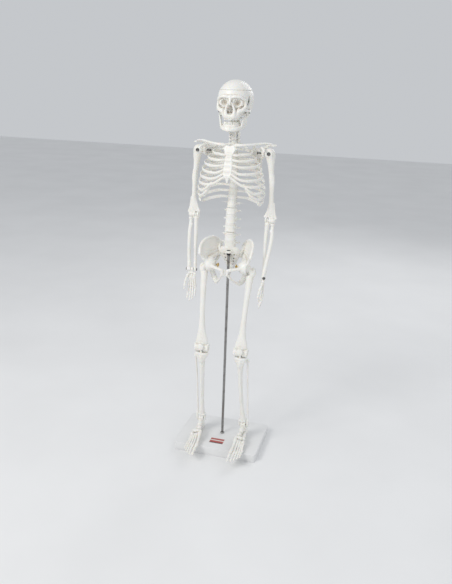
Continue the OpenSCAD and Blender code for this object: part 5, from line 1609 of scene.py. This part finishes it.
def wrist_screws():
    shank_r, shank_length, shank_start = 1.1, 24, 10.8
    head_r, nut_r, head_h = 3.6, 3.2, 1.4
    head_seat, nut_seat = 13.2, 10.2
    for side, sign in (("left", 1), ("right", -1)):
        turn = FOREARM_TURN if side == "left" else 0.0
        axis = spin(Z, -turn) @ X if side == "left" else -X
        mid = WRIST * [sign, 1, 1]
        node = f"wrist_screw_{side}"
        shank = lathe("shank", plain_pin(shank_r, shank_length), mid - axis * shank_start, axis, 24, 0.1)
        head = slotted_head("head", head_r, head_h, mid + axis * head_seat, axis, 35)
        nut = slotted_head("nut", nut_r, head_h, mid - axis * nut_seat, -axis, 80)
        stands_for(joined("look_" + node, [shank, head, nut]), node)


def hip_hardware():
    parts = []
    shank_r, shank_length, shank_start = 1.6, 26, -4
    washer_r, washer_h, washer_seat = 5, 1.6, 20.4
    head_r, head_h = 3.0, 1.6
    head_seat = washer_seat + washer_h
    for sign in (1, -1):
        mid = HIP * [sign, 1, 1]
        inward = -X * sign
        pin = plain_pin(shank_r, shank_length)
        parts.append(lathe("shank", pin, mid + inward * shank_start, inward, 32, 0.1))
        ring = [(shank_r, 0), (washer_r, 0), (washer_r, washer_h), (shank_r, washer_h)]
        parts.append(lathe("washer", ring, mid + inward * washer_seat, inward, 40, 0.3))
        parts.append(slotted_head("head", head_r, head_h, mid + inward * head_seat, inward, 60))
    stands_for(joined("look_hip_screws", parts), "hip_screws")


def stand():
    low, high = (np.array(c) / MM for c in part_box("base_shell"))
    width, depth, height = high - low
    wall, corner = 2.5, 7
    outer = rounded_rectangle(width, depth, corner)
    inner = rounded_rectangle(width - 2 * wall, depth - 2 * wall, corner - wall)
    bm = bmesh.new()
    levels = [(outer, 0.0), (outer, height), (inner, 0.0), (inner, height - wall)]
    rings = [[bm.verts.new((x, y, z)) for x, y in outline] for outline, z in levels]
    n = len(outer)
    for i in range(n):
        j = (i + 1) % n
        bm.faces.new([rings[0][i], rings[0][j], rings[1][j], rings[1][i]])
        bm.faces.new([rings[2][j], rings[2][i], rings[3][i], rings[3][j]])
        bm.faces.new([rings[0][j], rings[0][i], rings[2][i], rings[2][j]])
    bm.faces.new(rings[1])
    bm.faces.new(rings[3][::-1])
    shell = bmesh_piece("look_base_shell", bm, 1.1, 4)
    nut_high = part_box("rod_nut")[1]
    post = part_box("base_cover")[1]
    px, py = post[0] / MM - 11.2, post[1] / MM - 11.2
    parts = [shell, lathe("boss", [(3.1, 0), (9, 0), (9, height - wall - nut_high[2] / MM + 0.2),
        (3.1, height - wall - nut_high[2] / MM + 0.2)], (0, 0, nut_high[2] / MM), Z, 40, 0.3)]
    for x in (-px, px):
        for y in (-py, py):
            parts.append(lathe("post", [(1.3, 0), (4.5, 0), (4.5, height - wall - 1.8),
                (1.3, height - wall - 1.8)],
                (x, y, 2), Z, 32, 0.2))
    stands_for(joined("look_base_shell", parts), "base_shell")
    gap = wall + 0.3
    cover = prism("look_base_cover", rounded_rectangle(width - 2 * gap, depth - 2 * gap, corner - gap),
        0.15, 2,
        (0, 0, 0), Z, bevel=0.3)
    stands_for(cover, "base_cover")
    screws = [slotted_head("head", 2.9, 0.9, (x, y, 1.2), -Z, 15 + 40 * i)
        for i, (x, y) in enumerate(((-px, -py), (px, -py), (px, py), (-px, py)))]
    screws += [lathe("shank", plain_pin(1.2, 9), (x, y, 1.2), Z, 20, 0.1) for x in (-px, px) for y in (-py,
        py)]
    stands_for(joined("look_cover_screws", screws), "cover_screws")
    label_lo, label_hi = (np.array(c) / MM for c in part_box("base_label"))
    mid, size = (label_lo + label_hi) / 2, label_hi - label_lo
    label = prism("look_base_label", rounded_rectangle(size[0], size[1], 1.2), 0, size[2],
        (mid[0], mid[1], label_lo[2]),
        Z, bevel=0.08)
    stands_for(label, "base_label")


def rod():
    low, high = (np.array(c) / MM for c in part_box("support_rod"))
    r, length = (high[0] - low[0]) / 2, high[2] - low[2]
    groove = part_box("rod_collar")[0][2] / MM + 1.75 - low[2]
    profile = [(0, 0), (r - 0.5, 0), (r, 0.5), (r, groove - 0.5), (r - 0.35, groove), (r, groove + 0.5),
        (r, length - 0.6), (r - 0.6, length), (0, length)]
    stands_for(lathe("look_support_rod", profile, (0, 0, low[2]), Z, 64), "support_rod")
    c_low, c_high = (np.array(c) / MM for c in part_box("rod_collar"))
    outer, tall = (c_high[0] - c_low[0]) / 2, c_high[2] - c_low[2]
    collar = lathe("collar", [(r + 0.05, 0), (outer, 0), (outer, tall - 1), (outer - 1, tall),
        (r + 0.05, tall)],
        (0, 0, c_low[2]), Z, 56, 0.2)
    grub = slotted_head("grub", 0.75, 0.4, (outer - 0.2, 0, c_low[2] + tall / 2), X, 10)
    stands_for(joined("look_rod_collar", [collar, grub]), "rod_collar")
    n_low, n_high = (np.array(c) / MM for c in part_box("rod_nut"))
    nut = prism("look_rod_nut", hexagon((n_high[1] - n_low[1]) / 2), n_low[2], n_high[2], (0, 0, 0), Z,
        bevel=0.4)
    stands_for(nut, "rod_nut")
    b_low, b_high = (np.array(c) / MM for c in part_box("rod_bush"))
    outer, tall = (b_high[0] - b_low[0]) / 2, b_high[2] - b_low[2]
    stands_for(lathe("look_rod_bush", [(r + 0.1, -0.6), (outer - 0.6, -0.6), (outer, 0.1), (outer, tall),
        (0, tall),
        (0, high[2] - b_low[2] + 0.3), (r + 0.1, high[2] - b_low[2] + 0.3)], (0, 0, b_low[2]), Z, 48),
            "rod_bush")


# ---------------------------------------------------------------- build


stand()
rod()
pins()
shoulder_hardware()
wrist_screws()
hip_hardware()
lumbar()
thoracic()
cervical()
discs()
ribs()
sternum()
cartilages()
clavicle()
scapula()
humerus()
forearms()
hip_bone()
sacrum()
symphysis()
femur()
patella()
tibia()
fibula()
feet()
skull()
mandible()


# ---------------------------------------------------------------- studio


def studio():
    bpy.ops.mesh.primitive_plane_add(size=14, location=(0, 0, 0))
    floor = bpy.context.object
    floor.name = "floor"
    m = Nodes("floor_paper")
    m.finish(m.blend(m.spread(m.noise(3, 3), 0.3, 0.7), (0.80, 0.80, 0.80), (0.84, 0.84, 0.84)), 0.75)
    floor.data.materials.append(m.material)
    world = bpy.data.worlds.new("studio")
    world.use_nodes = True
    world.node_tree.nodes["Background"].inputs["Color"].default_value = (0.93, 0.96, 1.0, 1)
    world.node_tree.nodes["Background"].inputs["Strength"].default_value = 0.60
    bpy.context.scene.world = world
    middle = Vector((0, 0, 0.45))
    for name, place, size, power, color in (
            ("key", (-1.1, -1.7, 1.9), 1.0, 27, (1.0, 0.985, 0.96)),
            ("fill", (1.7, -1.2, 1.0), 1.6, 6, (0.96, 0.98, 1.0)),
            ("rim", (0.6, 1.8, 1.6), 1.2, 9, (1.0, 1.0, 1.0))):
        lamp = bpy.data.lights.new(name, "AREA")
        lamp.size, lamp.energy, lamp.color = size, power, color
        holder = bpy.data.objects.new(name, lamp)
        holder.location = place
        holder.rotation_euler = (middle - Vector(place)).to_track_quat("-Z", "Y").to_euler()
        bpy.context.scene.collection.objects.link(holder)
    bpy.context.scene.view_settings.view_transform = "Standard"


def camera():
    """Eye level with the top of the skull, in front of the skeleton and to its left."""
    place = Vector((0.35061, -1.354144, 0.841427))
    yaw, pitch, roll = (math.radians(a) for a in (14.641, 18.029, 2.035))
    forward = Vector((-math.sin(yaw) * math.cos(pitch), math.cos(yaw) * math.cos(pitch), -math.sin(pitch)))
    across = Vector((math.cos(yaw), math.sin(yaw), 0))
    up = across.cross(forward)
    right = across * math.cos(roll) + up * math.sin(roll)
    top = up * math.cos(roll) - across * math.sin(roll)
    lens = bpy.data.cameras.new("camera")
    lens.lens, lens.sensor_width = 39.49, 36.0
    holder = bpy.data.objects.new("camera", lens)
    holder.matrix_world = Matrix.Translation(place) @ Matrix((right, top, -forward)).transposed().to_4x4()
    bpy.context.scene.collection.objects.link(holder)
    bpy.context.scene.camera = holder


studio()
camera()
